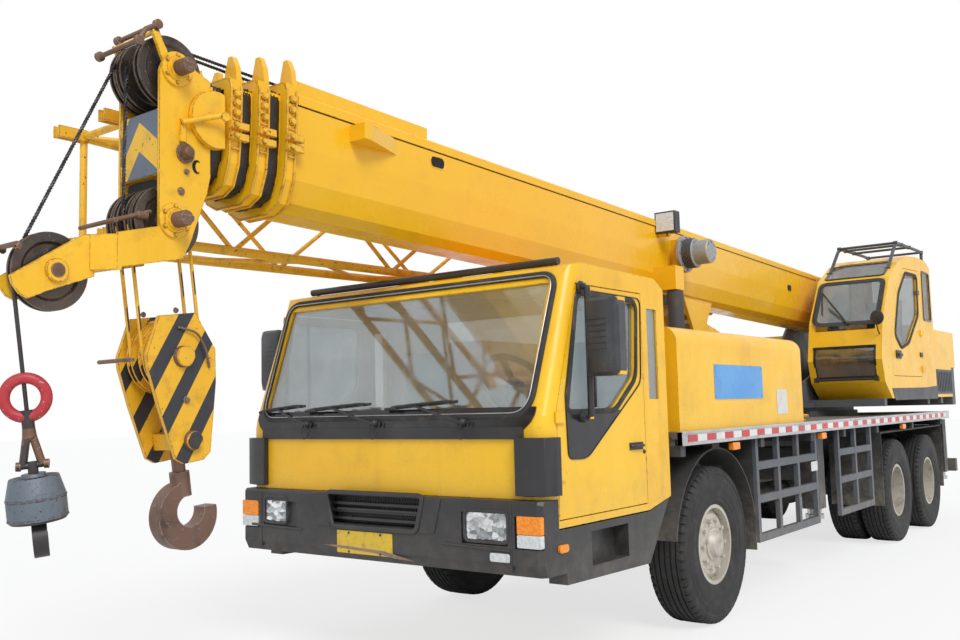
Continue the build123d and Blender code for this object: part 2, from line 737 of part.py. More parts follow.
def wheel_nuts(y, x, side):
    """A circle of wheel nuts standing on the disc."""
    for k in range(nut_count):
        turn = math.tau * k / nut_count
        ny = y + nut_circle * math.cos(turn)
        nz = tyre_radius + nut_circle * math.sin(turn)
        cross_bar(ny, nz, *sorted((side * x, side * (x + 32))), nut_radius)


for side, name in ((1, "left"), (-1, "right")):
    c = front_track / 2
    with BuildPart() as tyre:
        turned(mirrored_x(tyre_section(c), side), front_axle_y)
    tyre.part.label = "tyre_front_" + name
    export_step(tyre.part, "parts/tyre_front_" + name + ".step")
    with BuildPart() as rim:
        turned(mirrored_x(barrel_section(c), side), front_axle_y)
        # convex disc from the barrel out to the hub
        turned(
            mirrored_x((
                (c + 20, rim_radius - rim_wall + 1), (c + 60, rim_radius - rim_wall + 1), (c + 92, 205),
                (c + 100, 120), (c + 100, stub_radius + pin_clear), (c + 76, stub_radius + pin_clear), (c + 76, 120), (c + 70, 195),
            ), side),
            front_axle_y,
        )
        turned(
            mirrored_x((
                (c + 98, hub_radius + 15), (c + 112, hub_radius + 15), (c + 118, hub_radius), (c + 150, 78), (c + 158, 60),
                (c + 158, 0), (c + 97, 0), (c + 97, hub_radius),
            ), side),
            front_axle_y,
        )
        turned(
            mirrored_x(((c - 70, 75), (c + 78, 75), (c + 78, stub_radius + pin_clear), (c - 70, stub_radius + pin_clear)), side),
            front_axle_y,
        )
        wheel_nuts(front_axle_y, c + 90, side)
    rim.part.label = "rim_front_" + name
    export_step(rim.part, "parts/rim_front_" + name + ".step")

rear_bore = 55.0 + pin_clear
for axle, y in enumerate(rear_axle_ys, 1):
    for side, name in ((1, "left"), (-1, "right")):
        inner_c = rear_track / 2 - twin_pitch / 2
        outer_c = rear_track / 2 + twin_pitch / 2
        node = "rear_" + str(axle) + "_" + name
        with BuildPart() as tyre:
            turned(mirrored_x(tyre_section(inner_c), side), y)
            turned(mirrored_x(tyre_section(outer_c), side), y)
        tyre.part.label = "tyre_" + node
        export_step(tyre.part, "parts/tyre_" + node + ".step")
        with BuildPart() as rim:
            turned(mirrored_x(barrel_section(inner_c), side), y)
            turned(mirrored_x(barrel_section(outer_c), side), y)
            mid = rear_track / 2
            # dished discs meet at the middle, between the twin tyres
            for c, way in ((inner_c, 1), (outer_c, -1)):
                turned(
                    mirrored_x((
                        (c + way * 40, rim_radius - rim_wall + 1), (c + way * 80, rim_radius - rim_wall + 1),
                        (mid, 215), (mid, rear_bore + 10), (mid - way * 24, rear_bore + 10), (mid - way * 24, 200),
                    ), side),
                    y,
                )
            turned(
                mirrored_x(((mid - 150, 110), (mid + 60, 110), (mid + 130, 98), (mid + 150, 80), (mid + 156, 60),
                            (mid + 156, 0), (mid + 152, 0), (mid + 152, rear_bore), (mid - 150, rear_bore)), side),
                y,
            )
            wheel_nuts(y, mid + 20, side)
        rim.part.label = "rim_" + node
        export_step(rim.part, "parts/rim_" + node + ".step")

# ---------------------------------------------------------------- outriggers
for place, y in (("front", outrigger_ys[0]), ("rear", outrigger_ys[1])):
    for side, name in ((1, "left"), (-1, "right")):
        mid = y - side * beam_pitch / 2
        node = place + "_" + name
        with BuildPart() as beam:
            block(
                *sorted((-side * (housing_x - 10), side * (jack_x - jack_leg / 2 + 2))),
                mid - beam_width / 2, mid + beam_width / 2, beam_z - beam_height / 2, beam_z + beam_height / 2,
            )
            block(
                *sorted((side * (jack_x - jack_leg / 2), side * (jack_x + jack_leg / 2))),
                mid - jack_leg / 2, mid + jack_leg / 2, jack_foot_z + 90, jack_top,
            )
            rod((side * jack_x, mid, jack_foot_z), (side * jack_x, mid, jack_top - 25), jack_tube + jack_bore_clear, Mode.SUBTRACT)
        beam.part.label = "outrigger_beam_" + node
        export_step(beam.part, "parts/outrigger_beam_" + node + ".step")
        with BuildPart() as jack:
            rod((side * jack_x, mid, jack_foot_z + 20), (side * jack_x, mid, jack_top - 40), jack_tube)
            rod((side * jack_x, mid, jack_foot_z), (side * jack_x, mid, jack_foot_z + foot_thick), foot_radius)
        jack.part.label = "outrigger_jack_" + node
        export_step(jack.part, "parts/outrigger_jack_" + node + ".step")

# ================================================================ superstructure
cheek_outer = cheek_inner + cheek_thick
with BuildPart() as turntable_frame:
    rod((0, slew_y, deck_top + ring_height + ring_gap), (0, slew_y, plate_bottom + 2), ring_radius - 40)
    block(-cheek_outer - 60, cheek_outer + 60, 2500, 5885, plate_bottom, plate_bottom + plate_thick)
    cheek = (
        (2560.0, plate_bottom + 20), (5885.0, plate_bottom + 20), (5885.0, 2080.0), (5200.0, 2240.0),
        (4900.0, 2700.0), (4440.0, 2700.0), (3700.0, 2050.0), (2560.0, 1720.0),
    )
    for side in (-1, 1):
        side_plate(cheek, *sorted((side * cheek_inner, side * cheek_outer)))
        cross_bar(pivot_y, pivot_z, *sorted((side * cheek_inner, side * (cheek_outer + 30))), 135)
        # ears for the foot of the luffing cylinder
        side_plate(
            (
                (foot_pin_y - 160, plate_bottom + plate_thick - 2), (foot_pin_y + 160, plate_bottom + plate_thick - 2),
                (foot_pin_y + 90, foot_pin_z + 90), (foot_pin_y - 90, foot_pin_z + 90),
            ),
            *sorted((side * 128, side * 160)),
        )
    # outriggers for the operator's cab and the housings
    for y in (2700.0, 4600.0, 5300.0):
        for side in (-1, 1):
            block(*sorted((side * (cheek_outer - 2), side * 1180)), y, y + 100, plate_bottom, plate_bottom + 80)
    cross_bar(foot_pin_y, foot_pin_z, -160, 160, 45)
    cross_bar(pivot_y, pivot_z, -cheek_outer - 40, cheek_outer + 40, pivot_pin)
turntable_frame.part.label = "turntable_frame"
export_step(turntable_frame.part, "parts/turntable_frame.step")

with BuildPart() as winch_drums:
    for y, z in ((5235.0, 1860.0), (5640.0, 1800.0)):
        cross_bar(y, z, -cheek_inner, cheek_inner, 60)
        cross_bar(y, z, -290, 290, 140)
        for x in (-305.0, 275.0):
            cross_bar(y, z, x, x + 30, 195)
winch_drums.part.label = "winch_drums"
export_step(winch_drums.part, "parts/winch_drums.step")

housing_floor = plate_bottom + 80
with BuildPart() as rear_housings:
    for side, front_y in ((1, 5010.0), (-1, 4400.0)):
        inner, outer = sorted((side * (cheek_outer + 50), side * 1200))
        side_plate(
            (
                (front_y, housing_floor), (5885.0, housing_floor), (5885.0, 1905.0), (tail_y - 10, 1905.0),
                (tail_y - 10, 2320.0), (tail_y - 60, 2370.0), (front_y, 2370.0),
            ),
            inner, outer,
        )
    rear_edges = [e for e in rear_housings.edges().filter_by(Axis.Z) if e.center().Y > tail_y - 15]
    fillet([e for e in rear_edges if abs(e.center().X) > 1190], housing_round)
rear_housings.part.label = "rear_housings"
export_step(rear_housings.part, "parts/rear_housings.step")

with BuildPart() as counterweight:
    block(-weight_half, weight_half, 5885, tail_y, deck_top + 75, 1905)
    tail_edges = [e for e in counterweight.edges().filter_by(Axis.Z) if e.center().Y > tail_y - 5]
    fillet(tail_edges, tail_round)
counterweight.part.label = "counterweight"
export_step(counterweight.part, "parts/counterweight.step")

# ---------------------------------------------------------------- operator's cab
op_outline = (
    (2900.0, housing_floor), (2650.0, 1700.0), (2570.0, 1940.0), (2680.0, 2360.0), (3060.0, 2870.0),
    (3460.0, 3070.0), (3790.0, 3170.0), (4250.0, 3210.0), (4720.0, 3210.0), (4950.0, 3140.0),
    (4960.0, 2370.0), (4960.0, housing_floor),
)
op_door_outline = (
    (3020.0, 1770.0), (4270.0, 1770.0), (4330.0, 3040.0), (3640.0, 3010.0), (3200.0, 2660.0), (2960.0, 2100.0),
)
op_door_window = (
    (3160.0, 2230.0), (3380.0, 2100.0), (3710.0, 2170.0), (4200.0, 2510.0), (4240.0, 2960.0),
    (3740.0, 2950.0), (3390.0, 2690.0),
)
op_rear_window = ((4500.0, 2470.0), (4860.0, 2470.0), (4860.0, 3050.0), (4520.0, 3050.0))

with BuildPart() as op_cab_shell:
    side_plate(op_outline, op_inner, op_outer)
    with BuildSketch(Plane.YZ.offset(op_inner + op_wall)) as hollow:
        Polygon(*op_outline, align=None)
        offset(amount=-op_wall, kind=Kind.INTERSECTION)
    extrude(hollow.sketch, amount=op_outer - op_inner - 2 * op_wall, mode=Mode.SUBTRACT)
    opening = grown(op_door_outline, door_gap)
    extrude(opening.moved(Location((op_outer + 5, 0, 0))), amount=-(op_wall + 12), mode=Mode.SUBTRACT)
    side_plate(op_rear_window, op_outer - op_wall - 5, op_outer + 5, Mode.SUBTRACT)
    side_plate(op_door_window, op_inner - 5, op_inner + op_wall + 5, Mode.SUBTRACT)
    # windscreen, lower window and roof light
    side_plate(((2560.0, 2300.0), (2720.0, 2250.0), (3150.0, 2800.0), (2960.0, 2850.0)), 500, op_outer - 75, Mode.SUBTRACT)
    side_plate(((2530.0, 1760.0), (2700.0, 1760.0), (2700.0, 2080.0), (2530.0, 2080.0)), 500, op_outer - 75, Mode.SUBTRACT)
    side_plate(((3180.0, 2830.0), (3640.0, 3060.0), (3560.0, 3200.0), (3060.0, 2980.0)), 520, op_outer - 90, Mode.SUBTRACT)
    block(520, op_outer - 90, 4900, 5000, 2450, 3030, Mode.SUBTRACT)
op_cab_shell.part.label = "op_cab_shell"
export_step(op_cab_shell.part, "parts/op_cab_shell.step")

op_hinge_x = op_outer + hinge_radius + pin_clear
op_hinge_y = 4350.0
with BuildPart() as op_cab_door:
    side_plate(op_door_outline, op_outer - op_wall, op_outer)
    side_plate(op_door_window, op_outer - op_wall - 1, op_outer + 1, Mode.SUBTRACT)
    for z in (1830.0, 2260.0):
        rod((op_hinge_x, op_hinge_y, z), (op_hinge_x, op_hinge_y, z + 60), hinge_radius)
        block(op_outer, op_hinge_x + 6, op_hinge_y - 110, op_hinge_y - 8, z, z + 60)
op_cab_door.part.label = "op_cab_door"
export_step(op_cab_door.part, "parts/op_cab_door.step")

with BuildPart() as op_cab_guard:
    for x in (op_inner + 70, op_outer - 70):
        rod((x, 3280, 2966), (x, 3700, 3330), 17)
        rod((x, 3700, 3330), (x, 4900, 3350), 17)
        rod((x, 4880, 3170), (x, 4900, 3350), 17)
        rod((x, 4200, 3200), (x, 4200, 3340), 15)
        with Locations((x, 3700, 3330), (x, 4900, 3350)):
            Sphere(21)
    for y, z in ((3700, 3330), (3950, 3334), (4300, 3340), (4900, 3350)):
        cross_bar(y, z, op_inner + 70, op_outer - 70, 15)
    side_plate(op_outline, op_inner - 1, op_outer + 1, Mode.SUBTRACT)
op_cab_guard.part.label = "op_cab_guard"
export_step(op_cab_guard.part, "parts/op_cab_guard.step")

with BuildPart() as op_seat:
    block(600, 1050, 3700, 4180, 1950, 2080)
    block(610, 1040, 4180, 4300, 1960, 2700)
    block(700, 950, 3760, 4140, housing_floor + op_wall, 1950)
op_seat.part.label = "op_seat"
export_step(op_seat.part, "parts/op_seat.step")

# ================================================================ boom
# the stowed jib's chords, which its brackets on the boom follow
# corner chords run from the broad foot frame at the front to the slim tip at the rear
jib_foot_y = -5270.0
jib_tip_y = 2250.0
jib_bays = 11
chord_radius = 28.0
bracket_gap = 1.1
# x and z of each chord at the foot and at the tip
jib_chords = (
    ((-410.0, 2460.0), (-545.0, 2545.0)),
    ((-850.0, 2460.0), (-710.0, 2545.0)),
    ((-410.0, 3080.0), (-545.0, 2745.0)),
    ((-850.0, 3080.0), (-710.0, 2745.0)),
)


def chord_point(chord, share):
    """A point on one chord, from 0 at the foot to 1 at the tip."""
    (x0, z0), (x1, z1) = jib_chords[chord]
    return (x0 + (x1 - x0) * share, jib_foot_y + (jib_tip_y - jib_foot_y) * share, z0 + (z1 - z0) * share)


half_w, half_d, wall, rear, front = boom_table[0]
with BuildPart() as boom_base:
    # lugs on both flanks that bear on the rest's columns, and ears for the eye of the luffing rod;
    # the tube's hollow then trims both
    for side in (-1, 1):
        block(*sorted((side * (half_w - 70), side * (rest_x + 50))), rest_y - 80, rest_y + 80, belly_z(rest_y), 2700)
    for x0 in (-ear_inner - ear_thick, ear_inner):
        side_plate(
            (
                (eye_pin_y - 330, belly_z(eye_pin_y - 330) + 60), (eye_pin_y + 330, belly_z(eye_pin_y + 330) + 60),
                (eye_pin_y + 110, eye_pin_z - 100), (eye_pin_y - 110, eye_pin_z - 100),
            ),
            x0, x0 + ear_thick,
        )
    boom_tube(half_w, half_d, wall, rear, front)
    boom_collar(0, lug_heights[0])
    # pivot tube across the heel
    cross_bar(pivot_y, pivot_z, -cheek_inner + 6, cheek_inner - 6, 110)
    # long cable box on top, at the front
    with BuildSketch(boom_section_plane(8270)) as rail:
        with Locations((half_w - 70, half_d + 34)):
            Rectangle(90, 76)
    extrude(rail.sketch, amount=1095)
    # scoop-shaped bracket on the left flank, open at the front
    with BuildSketch(Plane.XY.offset(3050)) as scoop:
        Polygon((half_w - 2, -4290.0), (half_w + 118, -4290.0), (half_w + 118, -4235.0), (half_w - 2, -3890.0), align=None)
    extrude(scoop.sketch, amount=92)
    # cable reel on its bracket, with the floodlight over it
    block(half_w - 2, reel_x, reel_y - 60, reel_y + 60, reel_z - 130, reel_z + 130)
    cross_bar(reel_y, reel_z, reel_x - 1, reel_x + 32, reel_radius + 24)
    cross_bar(reel_y, reel_z, reel_x + 31, reel_x + 130, reel_radius - 10)
    cross_bar(reel_y, reel_z, reel_x + 129, reel_x + reel_length, reel_radius - 32)
    block(half_w - 2, reel_x + 20, flood_y - 14, flood_y + 14, flood_z - 120, flood_z - 92)
    rod((reel_x, flood_y, flood_z - 106), (reel_x, flood_y, flood_z), 14)
    block(reel_x - 95, reel_x + 95, flood_y - 45, flood_y + 45, flood_z - 90, flood_z + 90)
    # brackets that carry the stowed jib on the right
    for y in (1700.0, -1100.0, -3900.0):
        x, _, z = chord_point(2, (y - jib_foot_y) / (jib_tip_y - jib_foot_y))
        block(x + chord_radius + bracket_gap, -half_w + 2, y - 40, y + 40, z - 30, z + 30)
    cross_bar(pivot_y, pivot_z, -cheek_inner - 10, cheek_inner + 10, pivot_pin + pin_clear, Mode.SUBTRACT)
boom_base.part.label = "boom_base"
export_step(boom_base.part, "parts/boom_base.step")

for index in (1, 2):
    half_w, half_d, wall, rear, front = boom_table[index]
    with BuildPart() as boom_section:
        boom_tube(half_w, half_d, wall, rear, front)
        boom_collar(index, lug_heights[index])
    boom_section.part.label = "boom_section_" + str(index + 1)
    export_step(boom_section.part, "parts/boom_section_" + str(index + 1) + ".step")

head_outline = (
    (-5479.0, 3174.0), (-5455.0, 3232.0), (-5410.0, 3256.0), (-5340.0, 3256.0), (-5290.0, 3222.0), (-5190.0, 3180.0),
    (-5190.0, 2696.0), (-5208.0, 2615.0), (-5310.0, 2343.0), (-5347.0, 2275.0), (-5600.0, 2219.0), (-5680.0, 2202.0),
    (-5690.0, 2362.0), (-5479.0, 2416.0),
)
nose_outline = (
    (-5740.0, 2164.0), (-5961.0, 2080.0), (-6041.0, 2043.0), (-6079.0, 2061.0), (-6112.0, 2104.0), (-6120.0, 2136.0),
    (-6002.0, 2215.0), (-5830.0, 2328.0), (-5794.0, 2348.0), (-5740.0, 2354.0),
)
half_w, half_d, wall, rear, front = boom_table[3]
with BuildPart() as boom_head:
    boom_tube(half_w, half_d, wall, rear, front)
    # the tube's mouth is cut away round the upper sheaves
    block(-half_w + wall + 2, half_w - wall - 2, -5300, -5205, 3030, 3200, Mode.SUBTRACT)
    for side in (-1, 1):
        side_plate(head_outline, *sorted((side * (head_half - head_plate), side * head_half)))
        side_plate(nose_outline, *sorted((side * (nose_half - nose_plate), side * nose_half)))
        # slanted plate that steps the head in to the nose
        with BuildSketch(Plane.XY.offset(2190)) as chin:
            Polygon(
                (side * (nose_half - nose_plate), -5775.0), (side * head_half, -5692.0),
                (side * head_half, -5666.0), (side * (nose_half - nose_plate), -5749.0), align=None,
            )
        extrude(chin.sketch, amount=164)
        # round doubling plate on each flank at the head's root, cut off behind
        cross_bar(-5172, 2985, *sorted((side * (half_w - 2), side * (head_half + 30))), 145)
    # plates across the root and across the front, above the lower sheaves
    block(-half_w + 4, half_w - 4, -5205, -5185, 2730, 3172)
    block(-half_w - 2, half_w + 2, -5472, -5452, 2668, 2985)
    for y, z in ((top_axle_y, top_axle_z), (low_axle_y, low_axle_z)):
        cross_bar(y, z, -head_half - 82, head_half + 82, 26)
        for side in (-1, 1):
            cross_bar(y, z, *sorted((side * (head_half - 2), side * (head_half + 18))), 62)
    cross_bar(nose_axle_y, nose_axle_z, -nose_half - 18, nose_half + 18, 50)
    cross_bar(-5508, 3344, -head_half + 4, head_half - 4, 11)
    for side in (-1, 1):
        side_plate(
            ((-5522.0, 3352.0), (-5482.0, 3352.0), (-5400.0, 3200.0), (-5450.0, 3190.0)),
            *sorted((side * (head_half - head_plate), side * head_half)),
        )
    block(-head_half - 40, head_half + 40, -5122, -5000, 2800, 3170, Mode.SUBTRACT)
boom_head.part.label = "boom_head"
export_step(boom_head.part, "parts/boom_head.step")


def sheave(x, y, z, radius, bore):
    """A grooved rope wheel on an axle along X."""
    half = sheave_width / 2
    with BuildSketch(Plane(origin=(x, y, z), x_dir=(1, 0, 0), z_dir=(0, -1, 0))) as outline:
        Polygon(
            (-half, radius), (-groove, radius), (-groove, radius - 14), (-groove / 2, radius - 23), (groove / 2, radius - 23),
            (groove, radius - 14), (groove, radius), (half, radius),
            (half, radius - 40), (12, radius - 55), (12, 62), (half, 58), (half, bore), (-half, bore),
            (-half, 58), (-12, 62), (-12, radius - 55), (-half, radius - 40), align=None,
        )
    revolve(outline.sketch, axis=Axis((x, y, z), (1, 0, 0)))


rope_turn = sheave_radius - 13.0
nose_bore = 50.3
with BuildPart() as head_sheaves:
    for x in (-2.1 * sheave_pitch, -1.05 * sheave_pitch, 2.1 * sheave_pitch):
        sheave(x, top_axle_y, top_axle_z, sheave_radius, 26.3)
    for x in (-2.1 * sheave_pitch, -sheave_pitch, sheave_pitch, 2.1 * sheave_pitch):
        sheave(x, low_axle_y, low_axle_z, sheave_radius, 26.3)
    sheave(0, nose_axle_y, nose_axle_z, sheave_radius, nose_bore)
head_sheaves.part.label = "head_sheaves"
export_step(head_sheaves.part, "parts/head_sheaves.step")

# ---------------------------------------------------------------- stowed jib
with BuildPart() as jib_lattice:
    for chord in range(4):
        rod(chord_point(chord, 0), chord_point(chord, 1), chord_radius)
    for a, b in ((0, 1), (1, 3), (3, 2), (2, 0)):
        for share in (0.0, 0.5, 1.0):
            rod(chord_point(a, share), chord_point(b, share), 20)
        for bay in range(jib_bays):
            first, second = (a, b) if bay % 2 == 0 else (b, a)
            rod(chord_point(first, bay / jib_bays), chord_point(second, (bay + 1) / jib_bays), 14)
    for chord in range(4):
        x, y, z = chord_point(chord, 0)
        for dx in (-30.0, 18.0):
            block(x + dx, x + dx + 14, y - 160, y + 10, z - 31, z + 31)
jib_lattice.part.label = "jib_lattice"
export_step(jib_lattice.part, "parts/jib_lattice.step")

# ---------------------------------------------------------------- luffing cylinder
foot_pin = Vector(0, foot_pin_y, foot_pin_z)
eye_pin = Vector(0, eye_pin_y, eye_pin_z)
cylinder_run = eye_pin - foot_pin
cylinder_dir = cylinder_run.normalized()
cylinder_length = cylinder_run.length
with BuildPart() as luff_barrel:
    rod(tuple(foot_pin + cylinder_dir * 70), tuple(foot_pin + cylinder_dir * barrel_length), barrel_radius)
    cross_bar(foot_pin_y, foot_pin_z, -120, 120, 90)
    rod(tuple(foot_pin + cylinder_dir * 180), tuple(foot_pin + cylinder_dir * (barrel_length + 1)), barrel_bore, Mode.SUBTRACT)
    cross_bar(foot_pin_y, foot_pin_z, -125, 125, 45 + pin_clear, Mode.SUBTRACT)
luff_barrel.part.label = "luff_barrel"
export_step(luff_barrel.part, "parts/luff_barrel.step")

with BuildPart() as luff_rod:
    rod(tuple(foot_pin + cylinder_dir * 200), tuple(foot_pin + cylinder_dir * (cylinder_length - 40)), rod_radius)
    cross_bar(eye_pin_y, eye_pin_z, -115, 115, 85)
    cross_bar(eye_pin_y, eye_pin_z, -120, 120, 42, Mode.SUBTRACT)
luff_rod.part.label = "luff_rod"
export_step(luff_rod.part, "parts/luff_rod.step")

# ---------------------------------------------------------------- hook block
# the block and the auxiliary hook are drawn plumb, then leaned back about the point they hang from
fall_y = low_axle_y
block_axle_z = 1806.0
hook_pin_z = 1402.0
cheek_shape = (
    (fall_y - 105, 2011.0), (fall_y + 95, 2011.0), (fall_y + 190, 1825.0), (fall_y + 172, 1660.0), (fall_y + 98, 1330.0),
    (fall_y + 55, 1300.0), (fall_y - 55, 1300.0), (fall_y - 98, 1330.0), (fall_y - 160, 1590.0), (fall_y - 195, 1780.0),
    (fall_y - 193, 1835.0),
)
fall_axis = Axis((0, fall_y, low_axle_z), (1, 0, 0))
with BuildPart() as plumb_block:
    for side in (-1, 1):
        side_plate(cheek_shape, *sorted((hook_x + side * (block_half - block_plate), hook_x + side * block_half)))
        cross_bar(fall_y, block_axle_z, *sorted((hook_x + side * (block_half - 30), hook_x + side * (block_half + 30))), 48)
        cross_bar(fall_y, hook_pin_z, *sorted((hook_x + side * 70, hook_x + side * (block_half + 30))), 42)
    cross_bar(fall_y, block_axle_z, hook_x - block_half + 2, hook_x + block_half - 2, 29)
    cross_bar(fall_y, 1975, hook_x - block_half + 2, hook_x + block_half - 2, 18)
    for x in (-sheave_pitch, sheave_pitch):
        sheave(hook_x + x, fall_y, block_axle_z, sheave_radius, 28)
        # rope falls up to the lower head sheaves
        for turn in (-rope_turn, rope_turn):
            rod((hook_x + x, fall_y + turn, block_axle_z), (hook_x + x, fall_y + turn, low_axle_z), rope_radius)
    # cross head that the hook's shank turns in
    block(
        hook_x - block_half + block_plate - 1, hook_x + block_half - block_plate + 1,
        fall_y - 55, fall_y + 55, hook_pin_z - 40, hook_pin_z + 40,
    )
    rod((hook_x, fall_y, hook_pin_z - 60), (hook_x, fall_y, hook_pin_z + 60), 32 + pin_clear, Mode.SUBTRACT)
with BuildPart() as hook_block:
    add(plumb_block.part.rotate(fall_axis, rope_lean))
hook_block.part.label = "hook_block"
export_step(hook_block.part, "parts/hook_block.step")


def hook_shape(x, y, z, size, thick, way):
    """A forged hook seen from the side: a crescent between two circles, open to one level direction."""
    with BuildSketch(Plane(origin=(x, y, z), x_dir=(*way, 0), z_dir=(way[1], -way[0], 0))) as outline:
        Circle(size * 1.32)
        with Locations((0.12 * size, 0.16 * size)):
            Circle(size * 0.62, mode=Mode.SUBTRACT)
        Polygon(
            (0.1 * size, 0.2 * size), (1.5 * size, 0.15 * size), (1.5 * size, 1.5 * size), (0.25 * size, 1.5 * size),
            align=None, mode=Mode.SUBTRACT,
        )
    extrude(outline.sketch, amount=thick / 2, both=True)


with BuildPart() as plumb_hook:
    rod((hook_x, fall_y, 1150), (hook_x, fall_y, hook_pin_z + 60), 32)
    rod((hook_x, fall_y, hook_pin_z + 42), (hook_x, fall_y, hook_pin_z + 72), 58)
    rod((hook_x, fall_y, 1130), (hook_x, fall_y, 1250), 48)
    hook_shape(hook_x, fall_y, 1037, 125, 85, (0, 1))
with BuildPart() as main_hook:
    add(plumb_hook.part.rotate(fall_axis, rope_lean))
main_hook.part.label = "main_hook"
export_step(main_hook.part, "parts/main_hook.step")

# ---------------------------------------------------------------- auxiliary hook
aux_y = nose_axle_y - rope_turn
aux_ring_z = 1640.0
aux_ring = 84.0
ball_z = 1210.0
ball_top = 91.0
fork_pin_z = 1350.0
# level directions that the small hook opens along and that its fork's pin lies along
hook_way = (-0.88, 0.475)
fork_way = Vector(0.475, 0.88, 0)


def aux_point(across, z):
    """A point beside the auxiliary rope's line, along the fork's pin."""
    return tuple(Vector(0, aux_y, z) + fork_way * across)


with BuildPart() as plumb_aux:
    # rope and its socket, and round them the ring that trips the hoist limit
    rod((0, aux_y, aux_ring_z - 178), (0, aux_y, aux_ring_z - aux_ring + 30), 26)
    rod((0, aux_y, aux_ring_z - aux_ring), (0, aux_y, nose_axle_z), rope_radius)
    with Locations(Plane(origin=(0, aux_y, aux_ring_z), z_dir=(0.82, -0.57, 0))):
        Torus(aux_ring, 23)
    # fork of the socket, and its pin through the weight's eye
    for way in (-1, 1):
        rod(aux_point(way * 12, aux_ring_z - 165), aux_point(way * 38, fork_pin_z), 15)
    rod(aux_point(-62, fork_pin_z), aux_point(62, fork_pin_z), 14)
    rod((0, aux_y, ball_z + ball_top - 2), (0, aux_y, fork_pin_z + 16), 21)
    # drum-shaped weight with its small hook
    with BuildSketch(Plane(origin=(0, aux_y, 0), x_dir=(1, 0, 0), z_dir=(0, -1, 0))) as outline:
        Polygon(
            (0, ball_z + ball_top + 14), (46, ball_z + ball_top + 14), (52, ball_z + ball_top), (98, ball_z + ball_top),
            (119, ball_z + 9), (119, ball_z - 90), (112, ball_z - 99), (0, ball_z - 99), align=None,
        )
    revolve(outline.sketch, axis=Axis((0, aux_y, 0), (0, 0, 1)))
    hook_shape(0, aux_y, ball_z - 173, 62, 60, hook_way)
with BuildPart() as aux_hook:
    add(plumb_aux.part.rotate(Axis((0, nose_axle_y, nose_axle_z), (1, 0, 0)), rope_lean))
aux_hook.part.label = "aux_hook"
export_step(aux_hook.part, "parts/aux_hook.step")
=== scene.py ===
import math
import random
import bmesh
import bpy
from mathutils import Matrix, Vector


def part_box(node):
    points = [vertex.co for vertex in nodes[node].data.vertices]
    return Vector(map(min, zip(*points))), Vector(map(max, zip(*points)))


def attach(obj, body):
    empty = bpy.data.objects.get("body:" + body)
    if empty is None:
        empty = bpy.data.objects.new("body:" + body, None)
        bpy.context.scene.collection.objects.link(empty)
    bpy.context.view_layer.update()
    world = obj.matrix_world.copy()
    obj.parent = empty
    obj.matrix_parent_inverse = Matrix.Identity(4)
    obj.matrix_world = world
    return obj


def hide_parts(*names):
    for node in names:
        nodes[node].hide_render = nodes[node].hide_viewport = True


# A three-axle truck crane with its boom stowed over the cab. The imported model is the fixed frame,
# in metres: +Z is up, the truck faces -Y and its left side is +X.
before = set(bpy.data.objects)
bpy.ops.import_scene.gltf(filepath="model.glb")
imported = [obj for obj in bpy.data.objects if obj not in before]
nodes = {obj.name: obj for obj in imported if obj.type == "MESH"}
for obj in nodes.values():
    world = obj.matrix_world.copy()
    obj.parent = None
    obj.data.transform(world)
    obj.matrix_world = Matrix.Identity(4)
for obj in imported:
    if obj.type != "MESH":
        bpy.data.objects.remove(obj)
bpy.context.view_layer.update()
scene = bpy.context.scene
scene.view_settings.view_transform = "Standard"

# ---------------------------------------------------------------- studio
# A pale floor under the wheels and an even white surround, lit by the surround and one soft sun.
surround = bpy.data.worlds.new("surround")
surround.use_nodes = True
scene.world = surround
sky = surround.node_tree
room_light = sky.nodes["Background"]
room_light.inputs["Color"].default_value = (0.93, 0.96, 1.0, 1.0)
room_light.inputs["Strength"].default_value = 0.62
white_card = sky.nodes.new("ShaderNodeBackground")
white_card.inputs["Color"].default_value = (1.0, 1.0, 1.0, 1.0)
white_card.inputs["Strength"].default_value = 1.0
path = sky.nodes.new("ShaderNodeLightPath")
seen = sky.nodes.new("ShaderNodeMath")
seen.operation = "MAXIMUM"
seen_too = sky.nodes.new("ShaderNodeMath")
seen_too.operation = "MAXIMUM"
either = sky.nodes.new("ShaderNodeMixShader")
sky.links.new(path.outputs["Is Camera Ray"], seen.inputs[0])
sky.links.new(path.outputs["Is Glossy Ray"], seen.inputs[1])
sky.links.new(seen.outputs[0], seen_too.inputs[0])
sky.links.new(path.outputs["Is Transmission Ray"], seen_too.inputs[1])
sky.links.new(seen_too.outputs[0], either.inputs[0])
sky.links.new(room_light.outputs[0], either.inputs[1])
sky.links.new(white_card.outputs[0], either.inputs[2])
sky.links.new(either.outputs[0], sky.nodes["World Output"].inputs["Surface"])

sun = bpy.data.objects.new("soft_sun", bpy.data.lights.new("soft_sun", "SUN"))
sun.data.energy = 1.9
sun.data.angle = math.radians(25)
sun.rotation_euler = (math.radians(48), 0, math.radians(58))
scene.collection.objects.link(sun)

